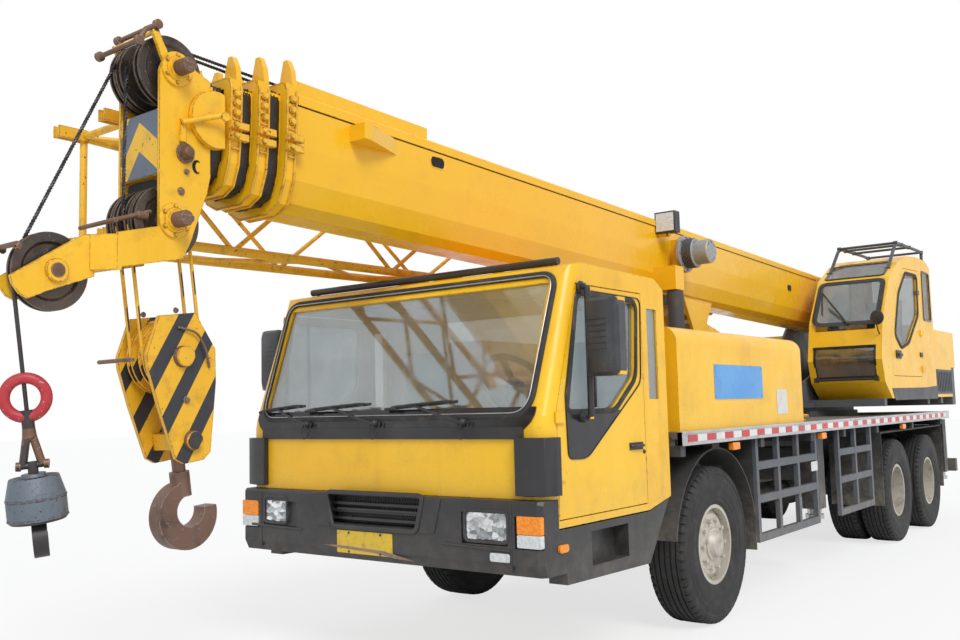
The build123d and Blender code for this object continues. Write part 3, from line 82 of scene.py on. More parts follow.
floor_mesh = bpy.data.meshes.new("floor")
floor_reach = 60.0
floor_mesh.from_pydata(
    [
        (-floor_reach, -floor_reach, 0), (floor_reach, -floor_reach, 0), (floor_reach, floor_reach, 0),
        (-floor_reach, floor_reach, 0),
    ],
    [], [(0, 1, 2, 3)],
)
floor = bpy.data.objects.new("floor", floor_mesh)
scene.collection.objects.link(floor)
floor_paint = bpy.data.materials.new("pale_floor")
floor_paint.use_nodes = True
floor_tree = floor_paint.node_tree
floor_shader = floor_tree.nodes["Principled BSDF"]
floor_shader.inputs["Base Color"].default_value = (0.86, 0.86, 0.86, 1.0)
floor_shader.inputs["Roughness"].default_value = 0.9
floor_glow = floor_tree.nodes.new("ShaderNodeEmission")
floor_glow.inputs["Color"].default_value = (1.0, 1.0, 1.0, 1.0)
floor_glow.inputs["Strength"].default_value = 1.0
floor_path = floor_tree.nodes.new("ShaderNodeLightPath")
floor_share = floor_tree.nodes.new("ShaderNodeMath")
floor_share.operation = "MULTIPLY"
floor_share.inputs[1].default_value = 0.72
floor_mix = floor_tree.nodes.new("ShaderNodeMixShader")
floor_tree.links.new(floor_path.outputs["Is Camera Ray"], floor_share.inputs[0])
floor_tree.links.new(floor_share.outputs[0], floor_mix.inputs[0])
floor_tree.links.new(floor_shader.outputs[0], floor_mix.inputs[1])
floor_tree.links.new(floor_glow.outputs[0], floor_mix.inputs[2])
floor_tree.links.new(floor_mix.outputs[0], floor_tree.nodes["Material Output"].inputs["Surface"])
floor_mesh.materials.append(floor_paint)

# The view is from the left front corner at eye level, looking up a little.
camera = bpy.data.objects.new("camera", bpy.data.cameras.new("camera"))
turn, tilt, lean = math.radians(37.46), math.radians(5.154), -0.0247
ahead = Vector((-math.sin(turn) * math.cos(tilt), math.cos(turn) * math.cos(tilt), math.sin(tilt)))
level = Vector((math.cos(turn), math.sin(turn), 0))
above = level.cross(ahead)
to_right = math.cos(lean) * level + math.sin(lean) * above
to_top = -math.sin(lean) * level + math.cos(lean) * above
camera.matrix_world = Matrix.Translation((4.058, -8.105, 1.536)) @ Matrix(
    (to_right, to_top, -ahead)
).transposed().to_4x4()
camera.data.sensor_width = 36.0
camera.data.lens = 36.19
camera.data.clip_end = 200.0
scene.collection.objects.link(camera)
scene.camera = camera

# ---------------------------------------------------------------- chassis frame
# Welded box frame with rails, outrigger boxes and bearers. It is painted dark grey and carries road dirt
# that thickens towards the ground.


def wire(tree, start, end):
    """Joins an output to an input in a material."""
    tree.links.new(start, end)


def speckle(tree, place, scale, detail=5.0, rough=0.6):
    """Noise over the surface at one scale."""
    noise = tree.nodes.new("ShaderNodeTexNoise")
    noise.inputs["Scale"].default_value = scale
    noise.inputs["Detail"].default_value = detail
    noise.inputs["Roughness"].default_value = rough
    wire(tree, place, noise.inputs["Vector"])
    return noise.outputs["Fac"]


def stretch(tree, place, x, y, z):
    """The same places scaled along each axis, for streaks and brush marks."""
    mapping = tree.nodes.new("ShaderNodeMapping")
    mapping.inputs["Scale"].default_value = (x, y, z)
    wire(tree, place, mapping.inputs["Vector"])
    return mapping.outputs["Vector"]


def between(tree, value, low, high, to_low=0.0, to_high=1.0):
    """A value spread from one range to another and held at its ends."""
    spread = tree.nodes.new("ShaderNodeMapRange")
    spread.inputs["From Min"].default_value = low
    spread.inputs["From Max"].default_value = high
    spread.inputs["To Min"].default_value = to_low
    spread.inputs["To Max"].default_value = to_high
    wire(tree, value, spread.inputs["Value"])
    return spread.outputs["Result"]


def sum_of(tree, first, second, kind="MULTIPLY"):
    """Two values joined by one operation."""
    both = tree.nodes.new("ShaderNodeMath")
    both.operation = kind
    both.use_clamp = True
    wire(tree, first, both.inputs[0])
    if isinstance(second, float):
        both.inputs[1].default_value = second
    else:
        wire(tree, second, both.inputs[1])
    return both.outputs[0]


def over(tree, share, under, top):
    """One colour laid over another where the share is high."""
    mix = tree.nodes.new("ShaderNodeMix")
    mix.data_type = "RGBA"
    wire(tree, share, mix.inputs[0])
    for socket, colour in ((mix.inputs[6], under), (mix.inputs[7], top)):
        if isinstance(colour, tuple):
            socket.default_value = (*colour, 1.0)
        else:
            wire(tree, colour, socket)
    return mix.outputs[2]


def worn_edges(tree, width):
    """High along the outer corners of a part, where paint rubs off."""
    bevel = tree.nodes.new("ShaderNodeBevel")
    bevel.samples = 4
    bevel.inputs["Radius"].default_value = width
    face = tree.nodes.new("ShaderNodeNewGeometry")
    dot = tree.nodes.new("ShaderNodeVectorMath")
    dot.operation = "DOT_PRODUCT"
    wire(tree, bevel.outputs["Normal"], dot.inputs[0])
    wire(tree, face.outputs["Normal"], dot.inputs[1])
    return between(tree, dot.outputs["Value"], 0.995, 0.85)


rust_brown = (0.115, 0.038, 0.016)
road_dust = (0.27, 0.235, 0.19)


def paint(name, colour, faded, grime=(0.045, 0.035, 0.025), grime_share=0.5, streak=0.0, chip=0.0,
          chip_colour=rust_brown, edge=0.0, rough=0.38, metal=0.0, splash=None, size=1.0, dent=0.25):
    """Paint on steel: slow fading, grime in patches, rain streaks, chips, worn corners and road splash."""
    material = bpy.data.materials.new(name)
    material.use_nodes = True
    tree = material.node_tree
    shader = tree.nodes["Principled BSDF"]
    place = tree.nodes.new("ShaderNodeTexCoord").outputs["Object"]
    fade = between(tree, speckle(tree, place, 0.8 * size), 0.35, 0.65)
    look = over(tree, fade, colour, faded)
    patches = between(tree, speckle(tree, place, 4.5 * size, 9.0, 0.68), 0.52, 0.74, 0.0, grime_share)
    look = over(tree, patches, look, grime)
    if streak:
        runs = speckle(tree, stretch(tree, place, 13 * size, 13 * size, 0.55 * size), 1.0, 4.0)
        look = over(tree, between(tree, runs, 0.56, 0.78, 0.0, streak), look, grime)
    if splash:
        depth = tree.nodes.new("ShaderNodeSeparateXYZ")
        wire(tree, place, depth.inputs[0])
        low = between(tree, depth.outputs["Z"], splash[0], splash[1])
        spots = between(tree, speckle(tree, place, 9.0, 8.0, 0.7), 0.3, 0.62)
        look = over(tree, sum_of(tree, sum_of(tree, low, spots), splash[2]), look, road_dust)
    roughness = between(tree, speckle(tree, place, 6.0 * size), 0.3, 0.7, rough - 0.08, rough + 0.1)
    height = speckle(tree, place, 34.0 * size, 3.0)
    if chip or edge:
        flakes = speckle(tree, place, 26.0 * size, 7.0, 0.62)
        bare = between(tree, flakes, 0.7 - 0.12 * chip, 0.72 - 0.12 * chip)
        if edge:
            rubbed = sum_of(
                tree, worn_edges(tree, 0.008), between(tree, flakes, 0.62 - 0.2 * edge, 0.66 - 0.2 * edge),
            )
            bare = sum_of(tree, bare, rubbed, "MAXIMUM") if chip else rubbed
        look = over(tree, bare, look, chip_colour)
        roughness = sum_of(tree, roughness, sum_of(tree, bare, 0.4), "ADD")
    wire(tree, look, shader.inputs["Base Color"])
    wire(tree, roughness, shader.inputs["Roughness"])
    shader.inputs["Metallic"].default_value = metal
    bump = tree.nodes.new("ShaderNodeBump")
    bump.inputs["Strength"].default_value = dent
    bump.inputs["Distance"].default_value = 0.0015
    wire(tree, height, bump.inputs["Height"])
    wire(tree, bump.outputs["Normal"], shader.inputs["Normal"])
    return material


def dress(material, *names):
    """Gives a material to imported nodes, in place of their plain one."""
    for name in names:
        nodes[name].data.materials.clear()
        nodes[name].data.materials.append(material)


chassis_paint = paint(
    "chassis_dark_grey", (0.035, 0.038, 0.044), (0.055, 0.058, 0.062), grime=(0.11, 0.085, 0.06),
    grime_share=0.7, chip=0.3, rough=0.6, splash=(1.15, 0.45, 0.55),
)
dress(
    chassis_paint, "chassis_frame", "rear_axles", "front_axle", "knuckle_left", "knuckle_right",
    "boom_rest",
)

# ---------------------------------------------------------------- deck
# Chequered steel plate, trodden and oily, with a bright aluminium edge rail screwed all round. Squares of
# red and white reflective tape run along the rail on both sides.


def add_box(bm, low, high):
    """A block between two opposite corners, in one mesh with others."""
    corners = [
        bm.verts.new((x, y, z)) for x in (low[0], high[0]) for y in (low[1], high[1])
        for z in (low[2], high[2])
    ]
    for a, b, c, d in ((0, 1, 3, 2), (4, 6, 7, 5), (0, 4, 5, 1), (2, 3, 7, 6), (0, 2, 6, 4), (1, 5, 7, 3)):
        bm.faces.new((corners[a], corners[b], corners[c], corners[d]))


def add_plate(bm, outline, x0, x1):
    """An upright plate along the truck, from an outline of (y, z) points."""
    near = [bm.verts.new((x0, y, z)) for y, z in outline]
    far = [bm.verts.new((x1, y, z)) for y, z in outline]
    bm.faces.new(near)
    bm.faces.new(list(reversed(far)))
    for k in range(len(outline)):
        j = (k + 1) % len(outline)
        bm.faces.new((near[j], near[k], far[k], far[j]))


def add_turned(bm, profile, centre, axis, count=32):
    """A body turned about an axis, from (distance along, radius) points."""
    axis = Vector(axis).normalized()
    side = axis.orthogonal().normalized()
    other = axis.cross(side)
    rings = []
    for along, radius in profile:
        ring = []
        for k in range(count):
            angle = math.tau * k / count
            out = side * math.cos(angle) + other * math.sin(angle)
            ring.append(bm.verts.new(Vector(centre) + axis * along + out * max(radius, 1e-4)))
        rings.append(ring)
    for first, second in zip(rings, rings[1:]):
        for k in range(count):
            j = (k + 1) % count
            bm.faces.new((first[k], first[j], second[j], second[k]))
    bm.faces.new(list(reversed(rings[0])))
    bm.faces.new(rings[-1])


def add_rod(bm, start, end, radius, count=14):
    """A round bar from one point to another."""
    run = Vector(end) - Vector(start)
    add_turned(bm, ((0, radius), (run.length, radius)), start, run, count)


def add_pipe(bm, points, radius, count=12):
    """A bent pipe along points, with one ring at each."""
    points = [Vector(p) for p in points]
    rings = []
    side = None
    for k, point in enumerate(points):
        ahead_run = points[min(k + 1, len(points) - 1)] - points[max(k - 1, 0)]
        ahead_run.normalize()
        side = ahead_run.orthogonal() if side is None else side - side.dot(ahead_run) * ahead_run
        side.normalize()
        other = ahead_run.cross(side)
        rings.append([
            bm.verts.new(
                point + radius * (
                    math.cos(math.tau * j / count) * side + math.sin(math.tau * j / count) * other
                )
            )
            for j in range(count)
        ])
    for first, second in zip(rings, rings[1:]):
        for k in range(count):
            j = (k + 1) % count
            bm.faces.new((first[k], first[j], second[j], second[k]))
    bm.faces.new(list(reversed(rings[0])))
    bm.faces.new(rings[-1])


def bend(points, sharp=0.35, steps=6):
    """The same route with its corners rounded."""
    points = [Vector(p) for p in points]
    route = [points[0]]
    for before, corner, after in zip(points, points[1:], points[2:]):
        start = corner.lerp(before, sharp)
        end = corner.lerp(after, sharp)
        for k in range(steps + 1):
            t = k / steps
            route.append((1 - t) ** 2 * start + 2 * t * (1 - t) * corner + t * t * end)
    route.append(points[-1])
    return route


def add_bolt(bm, spot, axis, across=0.012, tall=0.01, sides=6):
    """A hexagon head on a washer."""
    add_turned(bm, ((0, across * 1.25), (0.003, across * 1.25)), spot, axis, 12)
    add_turned(bm, ((0.003, across), (tall, across), (tall + 0.002, across * 0.8)), spot, axis, sides)


def piece(name, bm, material, body, bevel=0.0, smooth=35.0):
    """Turns a mesh into a piece of the crane that moves with a body."""
    bmesh.ops.recalc_face_normals(bm, faces=bm.faces)
    mesh = bpy.data.meshes.new(name)
    bm.to_mesh(mesh)
    bm.free()
    made = bpy.data.objects.new(name, mesh)
    scene.collection.objects.link(made)
    mesh.materials.append(material)
    if bevel:
        round_off = made.modifiers.new("rounded", "BEVEL")
        round_off.width = bevel
        round_off.segments = 2
        round_off.limit_method = "ANGLE"
    mesh.shade_smooth()
    mesh.set_sharp_from_angle(angle=math.radians(smooth))
    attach(made, body)
    return made


deck_low, deck_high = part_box("deck")
deck_steel = paint(
    "deck_plate", (0.13, 0.13, 0.13), (0.2, 0.19, 0.18), grime=(0.05, 0.04, 0.03), grime_share=0.8,
    chip=0.5, rough=0.55, metal=0.4,
)
dress(deck_steel, "deck")
bright_edge = paint(
    "aluminium_rail", (0.62, 0.63, 0.64), (0.5, 0.51, 0.52), grime=(0.2, 0.17, 0.13), grime_share=0.45,
    rough=0.42, metal=0.75, size=2.0,
)
rail_skin = 0.003
rail_deep = 0.089
for side, name in ((1, "left"), (-1, "right")):
    bm = bmesh.new()
    outer = side * deck_high.x
    add_box(
        bm, (outer - side * 0.036, deck_low.y, deck_high.z - rail_deep),
        (outer + side * rail_skin, deck_high.y, deck_high.z + 0.004),
    )
    for lip in (deck_high.z - rail_deep, deck_high.z - 0.012):
        add_box(bm, (outer, deck_low.y, lip), (outer + side * 0.008, deck_high.y, lip + 0.014))
    piece("deck_edge_rail_" + name, bm, bright_edge, "carrier", bevel=0.002)
    for colour, start in (("red", 0), ("white", 1)):
        tape = paint(
            "reflective_" + colour + "_" + name, (0.62, 0.02, 0.02) if colour == "red"
            else (0.78, 0.78, 0.76), (0.5, 0.03, 0.03) if colour == "red" else (0.66, 0.66, 0.64),
            grime=(0.2, 0.17, 0.14), grime_share=0.4, rough=0.3,
        )
        bm = bmesh.new()
        pitch = 0.148
        for k in range(start, int((deck_high.y - deck_low.y) / pitch) - 1, 2):
            y = deck_low.y + 0.08 + k * pitch
            add_box(
                bm, (outer + side * 0.003, y, deck_high.z - 0.066),
                (outer + side * 0.0055, y + pitch * 0.96, deck_high.z - 0.02),
            )
        piece("reflective_tape_" + colour + "_" + name, bm, tape, "carrier")

# ---------------------------------------------------------------- yellow paint
# The whole crane is sprayed in one machine yellow. It has weathered to a slightly paler and browner tone,
# with chips at corners, rain streaks and road dirt low down.
machine_yellow = (0.86, 0.46, 0.008)
sun_yellow = (0.93, 0.55, 0.02)
body_yellow = paint(
    "machine_yellow", machine_yellow, sun_yellow, grime=(0.3, 0.15, 0.03), grime_share=0.25, streak=0.15,
    edge=0.25, rough=0.3, splash=(1.2, 0.6, 0.35), size=0.8, dent=0.12,
)
boom_yellow = paint(
    "boom_yellow", machine_yellow, (0.9, 0.5, 0.012), grime=(0.45, 0.22, 0.02), grime_share=0.14, edge=0.15,
    rough=0.24, dent=0.06,
)
worn_yellow = paint(
    "worn_yellow", (0.8, 0.42, 0.015), (0.86, 0.5, 0.04), grime=(0.13, 0.07, 0.03), grime_share=0.8,
    streak=0.3, chip=0.5, edge=1.0, rough=0.45, size=1.6, dent=0.3,
)
dress(
    body_yellow, "cab_shell", "deck_boxes", "cab_door_left", "cab_door_right", "op_cab_shell",
    "op_cab_door", "rear_housings",
)
dress(boom_yellow, "boom_base", "boom_section_2", "boom_section_3")
dress(worn_yellow, "jib_lattice", "luff_barrel")

# ---------------------------------------------------------------- black and grey parts
# Bumper, lamps' bezels, mirrors, guards and flaps are moulded or sprayed black, greyed by dust.
black_paint = paint(
    "satin_black", (0.018, 0.018, 0.02), (0.03, 0.03, 0.032), grime=(0.1, 0.085, 0.07), grime_share=0.25,
    rough=0.42, edge=0.25, chip_colour=(0.12, 0.11, 0.105), splash=(1.0, 0.5, 0.25),
)
grey_paint_and_frame_shade = paint(
    "slate_grey_and_frame_shade", (0.075, 0.088, 0.105), (0.095, 0.108, 0.125), grime=(0.1, 0.08, 0.06), grime_share=0.5,
    chip=0.3, edge=0.6, rough=0.5, splash=(1.1, 0.5, 0.4),
)
outrigger_black = paint(
    "outrigger_black", (0.02, 0.021, 0.024), (0.035, 0.036, 0.04), grime=(0.13, 0.1, 0.07), grime_share=0.6,
    chip=0.4, rough=0.5, splash=(1.1, 0.5, 0.5),
)
rubber = paint(
    "sheet_rubber", (0.02, 0.02, 0.02), (0.035, 0.034, 0.033), grime=(0.2, 0.17, 0.13), grime_share=0.5,
    rough=0.75, splash=(1.1, 0.4, 0.6),
)
dress(black_paint, "front_bumper", "cab_trim", "op_cab_guard", "cab_dashboard")
# Side guards and counterweight are slate grey; the turntable frame, yellow itself, gets the same grey as
# painted shade.
dress(grey_paint_and_frame_shade, "side_guards", "counterweight", "turntable_frame")
dress(rubber, "mudguards")
for side in ("left", "right"):
    for end in ("front", "rear"):
        dress(outrigger_black, "outrigger_beam_" + end + "_" + side)
cast_iron = paint(
    "oily_iron", (0.05, 0.048, 0.05), (0.085, 0.07, 0.06), grime=(0.02, 0.017, 0.015), grime_share=0.8,
    chip=0.9, rough=0.5, metal=0.5, size=1.5,
)
polished_rod = paint(
    "chromed_rod", (0.62, 0.62, 0.63), (0.52, 0.52, 0.53), grime=(0.1, 0.08, 0.06), grime_share=0.3,
    rough=0.22, metal=1.0,
)
dress(polished_rod, "luff_rod")
for side in ("left", "right"):
    for end in ("front", "rear"):
        dress(polished_rod, "outrigger_jack_" + end + "_" + side)
dress(cast_iron, "engine_block", "winch_drums")

# ---------------------------------------------------------------- window glass
# Toughened panes, faintly green, that mirror the sky and let the dim inside show through.


def pane_glass(name, tint, clear, mirror=0.75):
    """Window glass with a film of dust."""
    glass = bpy.data.materials.new(name)
    glass.use_nodes = True
    tree = glass.node_tree
    shader = tree.nodes["Principled BSDF"]
    place = tree.nodes.new("ShaderNodeTexCoord").outputs["Object"]
    dust = between(tree, speckle(tree, place, 3.0, 8.0, 0.7), 0.45, 0.75)
    wire(tree, over(tree, dust, tint, tuple(0.7 * c + 0.2 for c in tint)), shader.inputs["Base Color"])
    wire(tree, between(tree, dust, 0.0, 1.0, 0.03, 0.16), shader.inputs["Roughness"])
    wire(tree, between(tree, dust, 0.0, 1.0, clear, clear + 0.12), shader.inputs["Alpha"])
    shader.inputs["Metallic"].default_value = mirror
    return glass


cab_window = pane_glass("cab_window_glass", (0.5, 0.56, 0.57), 0.42)
dress(cab_window, "cab_glass")

# ---------------------------------------------------------------- windscreen
# One wide laminated pane held by a fat rubber gasket with a bright filler strip, over a gloss black panel
# with rounded ends. It is set in the raked front of the cab, and three wipers are pivoted in the panel.
cab_front = -3.83
screen_foot = 1.487
screen_top = 2.252
screen_lean = (3.819 - 3.548) / (screen_top - screen_foot)
screen_corner = 0.11


def rounded(corners, reach, steps=6):
    """A closed outline with each corner rounded over a reach, which may differ from corner to corner."""
    loop = []
    count = len(corners)
    for k, corner in enumerate(corners):
        cut = reach[k] if isinstance(reach, (tuple, list)) else reach
        here = Vector(corner)
        before = Vector(corners[k - 1])
        after = Vector(corners[(k + 1) % count])
        start = here + (before - here).normalized() * cut
        end = here + (after - here).normalized() * cut
        if cut == 0:
            loop.append(here)
            continue
        for j in range(steps + 1):
            t = j / steps
            loop.append((1 - t) ** 2 * start + 2 * t * (1 - t) * here + t * t * end)
    return loop


def rounded_box(x0, z0, x1, z1, reach, steps=6):
    """A rectangle with rounded corners, from two opposite corners."""
    return rounded(((x0, z0), (x1, z0), (x1, z1), (x0, z1)), reach, steps)


def outward(loop):
    """A unit direction out of a closed outline at each of its points."""
    area = sum(loop[k - 1].x * loop[k].y - loop[k].x * loop[k - 1].y for k in range(len(loop)))
    sign = 1 if area > 0 else -1
    ways = []
    for k in range(len(loop)):
        run = (loop[(k + 1) % len(loop)] - loop[k - 1]).normalized()
        ways.append(Vector((run.y, -run.x)) * sign)
    return ways


gasket_shape = ((0.0, -0.3), (0.0, 0.55), (0.18, 0.95), (0.5, 1.0), (0.82, 0.9), (1.0, 0.5), (1.0, -0.3))


def add_gasket(bm, loop, place, width, thick, shape=gasket_shape):
    """A moulded strip all round an outline, from the outline outwards."""
    ways = outward(loop)
    rings = []
    for point, way in zip(loop, ways):
        rings.append([bm.verts.new(place(*(point + way * width * a), thick * b)) for a, b in shape])
    for k, ring in enumerate(rings):
        after = rings[(k + 1) % len(rings)]
        for a in range(len(shape)):
            b = (a + 1) % len(shape)
            bm.faces.new((ring[a], ring[b], after[b], after[a]))


def add_sheet(bm, loop, place, low, high):
    """A thin flat panel or pane with an outline, between two heights off its face."""
    under = [bm.verts.new(place(*point, low)) for point in loop]
    top = [bm.verts.new(place(*point, high)) for point in loop]
    bm.faces.new(top)
    bm.faces.new(list(reversed(under)))
    for k in range(len(loop)):
        j = (k + 1) % len(loop)
        bm.faces.new((under[k], under[j], top[j], top[k]))


def on_front(x, z, out):
    """A point on the cab's front, which stands upright below the windscreen and leans back above."""
    if z < 1.427:
        return Vector((x, cab_front - out, z))
    if z < screen_foot:
        return Vector((x, cab_front + (z - 1.427) * 0.18 - out, z))
    y = cab_front + 0.011 + (z - screen_foot) * screen_lean
    return Vector((x, y - out * 0.94, z + out * 0.33))


gloss_black = paint(
    "gloss_black", (0.01, 0.01, 0.012), (0.02, 0.02, 0.023), grime=(0.14, 0.12, 0.1), grime_share=0.25,
    rough=0.16, dent=0.05,
)
screen_outline = rounded(
    (
        (-1.075, 1.502), (1.075, 1.502), (1.095, 2.262), (-1.095, 2.262),
    ), (screen_corner, screen_corner, 0.08, 0.08), 8,
)
bm = bmesh.new()
add_gasket(bm, screen_outline, on_front, 0.036, 0.016)
piece("windscreen_gasket", bm, rubber, "carrier", smooth=50)
bm = bmesh.new()
bright = [point + way * 0.004 for point, way in zip(screen_outline, outward(screen_outline))]
add_gasket(bm, bright, on_front, 0.006, 0.019)
piece("windscreen_filler_strip", bm, bright_edge, "carrier")
bm = bmesh.new()
levels = [1.36, 1.372, 1.39, 1.41, 1.4269, 1.45, 1.4869, 1.51, 1.53]
for low, high in zip(levels, levels[1:]):
    half_low = 1.13 - 0.17 * max(0.0, 1 - (low - 1.36) / 0.15) ** 2.2
    half_high = 1.13 - 0.17 * max(0.0, 1 - (high - 1.36) / 0.15) ** 2.2
    add_sheet(
        bm, [Vector(p) for p in ((-half_low, low), (half_low, low), (half_high, high), (-half_high, high))],
        on_front, -0.004, 0.009,
    )
bmesh.ops.remove_doubles(bm, verts=bm.verts, dist=0.0001)
piece("panel_under_windscreen", bm, gloss_black, "carrier", bevel=0.002)

# ---------------------------------------------------------------- wipers
# Pressed steel arms, painted black, on pivots in the gloss panel, with rubber blades and a loop of washer
# hose under each.
bm = bmesh.new()
blades = bmesh.new()
for x, reach in ((-0.62, 0.46), (-0.02, 0.6), (0.66, 0.58)):
    pivot = on_front(x, 1.452, 0.008)
    add_turned(bm, ((0, 0.024), (0.03, 0.021), (0.042, 0.012), (0.046, 0.0)), pivot, (0, -1, 0.1), 16)
    tip = on_front(x - reach * 0.62, 1.535, 0.05)
    knee = on_front(x - reach * 0.2, 1.482, 0.05)
    add_pipe(bm, bend([pivot + Vector((0, -0.03, 0)), knee, tip], 0.4, 4), 0.009, 8)
    ends = [on_front(x - reach * 1.05, 1.525, 0.032), on_front(x - reach * 0.1, 1.56, 0.032)]
    add_pipe(blades, [ends[0], ends[0].lerp(ends[1], 0.5) + Vector((0, -0.004, 0)), ends[1]], 0.009, 6)
    for share in (0.15, 0.4, 0.62, 0.88):
        hold = ends[0].lerp(ends[1], share)
        add_box(bm, hold + Vector((-0.022, -0.016, -0.007)), hold + Vector((0.022, 0.006, 0.013)))
    add_pipe(
        bm,
        bend(
            [
                ends[0].lerp(ends[1], 0.15) + Vector((0, -0.014, 0.01)), tip + Vector((0, -0.01, 0.01)),
                ends[0].lerp(ends[1], 0.88) + Vector((0, -0.014, 0.01)),
            ],
            0.4, 3,
        ),
        0.006, 6,
    )
    loop = [
        pivot + Vector(p)
        for p in (
            (0.045, -0.02, 0.01), (0.04, -0.045, -0.06), (0.012, -0.05, -0.1), (-0.03, -0.045, -0.07),
            (-0.03, -0.02, 0.0),
        )
    ]
    add_pipe(blades, bend(loop, 0.5, 4), 0.004, 6)
piece("wiper_arms", bm, black_paint, "carrier")
piece("wiper_blades_and_hoses", blades, rubber, "carrier")

# ---------------------------------------------------------------- bumper
# Moulded black bumper. Its middle has a recess shaped like a trapezoid with a mesh grille, and under that hangs
# a yellow plate, left blank. A ridge runs under each lamp, and old clay has dried across the plate's top.
bumper_face = -3.9
cab_side = 1.2


def on_bumper(x, z, out):
    """A point on the bumper's upright front."""
    return Vector((x, bumper_face - out, z))


grille_outline = rounded(((-0.33, 0.848), (0.33, 0.848), (0.378, 1.024), (-0.378, 1.024)), 0.02, 3)
bm = bmesh.new()
add_gasket(bm, grille_outline, on_bumper, 0.03, 0.014)
for side in (-1, 1):
    cheek = [(side * 0.36, 0.83), (side * 0.475, 0.83), (side * 0.53, 1.03), (side * 0.41, 1.03)]
    add_sheet(bm, rounded(cheek, 0.012, 3), on_bumper, -0.006, 0.006)
for x0, x1, z in ((0.53, 1.0, 0.784), (-1.1, -0.62, 0.806)):
    add_rod(bm, (x0, bumper_face, z), (x1, bumper_face, z - 0.012), 0.009, 8)
add_box(bm, (-0.33, bumper_face + 0.028, 0.93), (0.36, bumper_face + 0.048, 0.944))
for side in (-1, 1):
    add_box(
        bm, (side * 1.008 - 0.004, bumper_face - 0.004, 0.66),
        (side * 1.008 + 0.004, bumper_face + 0.01, 1.02),
    )
piece("bumper_mouldings", bm, black_paint, "carrier", bevel=0.003)
bm = bmesh.new()
mesh_pitch = 0.021
row_pitch = 0.0185
rows = 9
for row in range(rows):
    z = 0.857 + row * row_pitch
    half = 0.335 + 0.045 * row / rows
    count = int(2 * half / mesh_pitch)
    for k in range(count + 1):
        x = -half + (k + 0.5 * (row % 2)) * mesh_pitch
        if x > half:
            continue
        for lean in (-1, 1):
            a = Vector((x, bumper_face + 0.06, z))
            b = Vector((x + lean * mesh_pitch / 2, bumper_face + 0.06, z + row_pitch))
            add_rod(bm, a, b, 0.0028, 4)
piece("grille_mesh", bm, black_paint, "carrier")
# A near-black box behind the grille mesh: painted shade in the recess.
bm = bmesh.new()
add_box(bm, (-0.385, bumper_face + 0.075, 0.852), (0.385, bumper_face + 0.0885, 1.024))
# Near-black fill used as painted shade in holes, gaps and recesses.
painted_shade_fill = paint("painted_shade_fill", (0.006, 0.006, 0.006), (0.01, 0.01, 0.01), rough=0.9)
piece("shade_behind_grille", bm, painted_shade_fill, "carrier")
plate_yellow = paint(
    "blank_plate_yellow", (0.75, 0.5, 0.02), (0.68, 0.46, 0.04), grime=(0.2, 0.13, 0.08), grime_share=0.7,
    chip=0.2, rough=0.4, size=5.0,
)
bm = bmesh.new()
add_sheet(bm, rounded_box(-0.302, 0.678, 0.155, 0.812, 0.008, 3), on_bumper, 0.001, 0.004)
piece("number_plate", bm, plate_yellow, "carrier", bevel=0.001)
bm = bmesh.new()
for x in (-0.2, 0.06):
    for z in (0.688, 0.8):
        add_bolt(bm, on_bumper(x, z, 0.003), (0, -1, 0), 0.006, 0.005)
piece("number_plate_screws", bm, black_paint, "carrier")
scuff_clay = paint(
    "dried_clay", (0.26, 0.17, 0.12), (0.33, 0.23, 0.17), grime=(0.1, 0.07, 0.05), grime_share=0.9,
    rough=0.95, size=5.0,
)
bm = bmesh.new()
add_sheet(
    bm,
    [
        Vector(p)
        for p in (
            (-0.42, 0.715), (-0.3, 0.722), (0.08, 0.71), (0.2, 0.69), (0.32, 0.668), (0.18, 0.672),
            (0.0, 0.694), (-0.28, 0.706),
        )
    ],
    on_bumper, 0.0, 0.0052,
)
piece("clay_scuff", bm, scuff_clay, "carrier")
bm = bmesh.new()
for side in (-1, 1):
    outer = side * 1.238
    inner = side * 1.02
    wrap = [
        (inner, -3.872), (side * 1.12, -3.872), (side * 1.2, -3.845), (outer, -3.79), (outer, -3.74),
        (side * 1.18, -3.74), (inner, -3.8),
    ]
    ends = [[bm.verts.new((x, y, z)) for x, y in wrap] for z in (1.058, 1.366)]
    bm.faces.new(ends[1])
    bm.faces.new(list(reversed(ends[0])))
    for k in range(len(wrap)):
        m = (k + 1) % len(wrap)
        bm.faces.new((ends[0][k], ends[0][m], ends[1][m], ends[1][k]))
piece("corner_vane_caps", bm, black_paint, "carrier", bevel=0.004)

# ---------------------------------------------------------------- lamps
# Faceted reflectors in black bezels, amber and clear indicators at the corners and one small fog lamp, all set
# in the bumper. An oval amber marker sits on each side behind the corner.


def lens(name, colour, glow, rough=0.08):
    """Moulded lamp plastic or glass with fine ribs."""
    material = bpy.data.materials.new(name)
    material.use_nodes = True
    tree = material.node_tree
    shader = tree.nodes["Principled BSDF"]
    place = tree.nodes.new("ShaderNodeTexCoord").outputs["Object"]
    wire(
        tree, over(tree, between(tree, speckle(tree, place, 60.0, 2.0), 0.4, 0.65), colour, glow),
        shader.inputs["Base Color"],
    )
    shader.inputs["Roughness"].default_value = rough
    ribs = tree.nodes.new("ShaderNodeTexWave")
    ribs.bands_direction = "X"
    ribs.inputs["Scale"].default_value = 55.0
    wire(tree, place, ribs.inputs["Vector"])
    bump = tree.nodes.new("ShaderNodeBump")
    bump.inputs["Strength"].default_value = 0.3
    bump.inputs["Distance"].default_value = 0.001
    wire(tree, ribs.outputs["Fac"], bump.inputs["Height"])
    wire(tree, bump.outputs["Normal"], shader.inputs["Normal"])
    return material


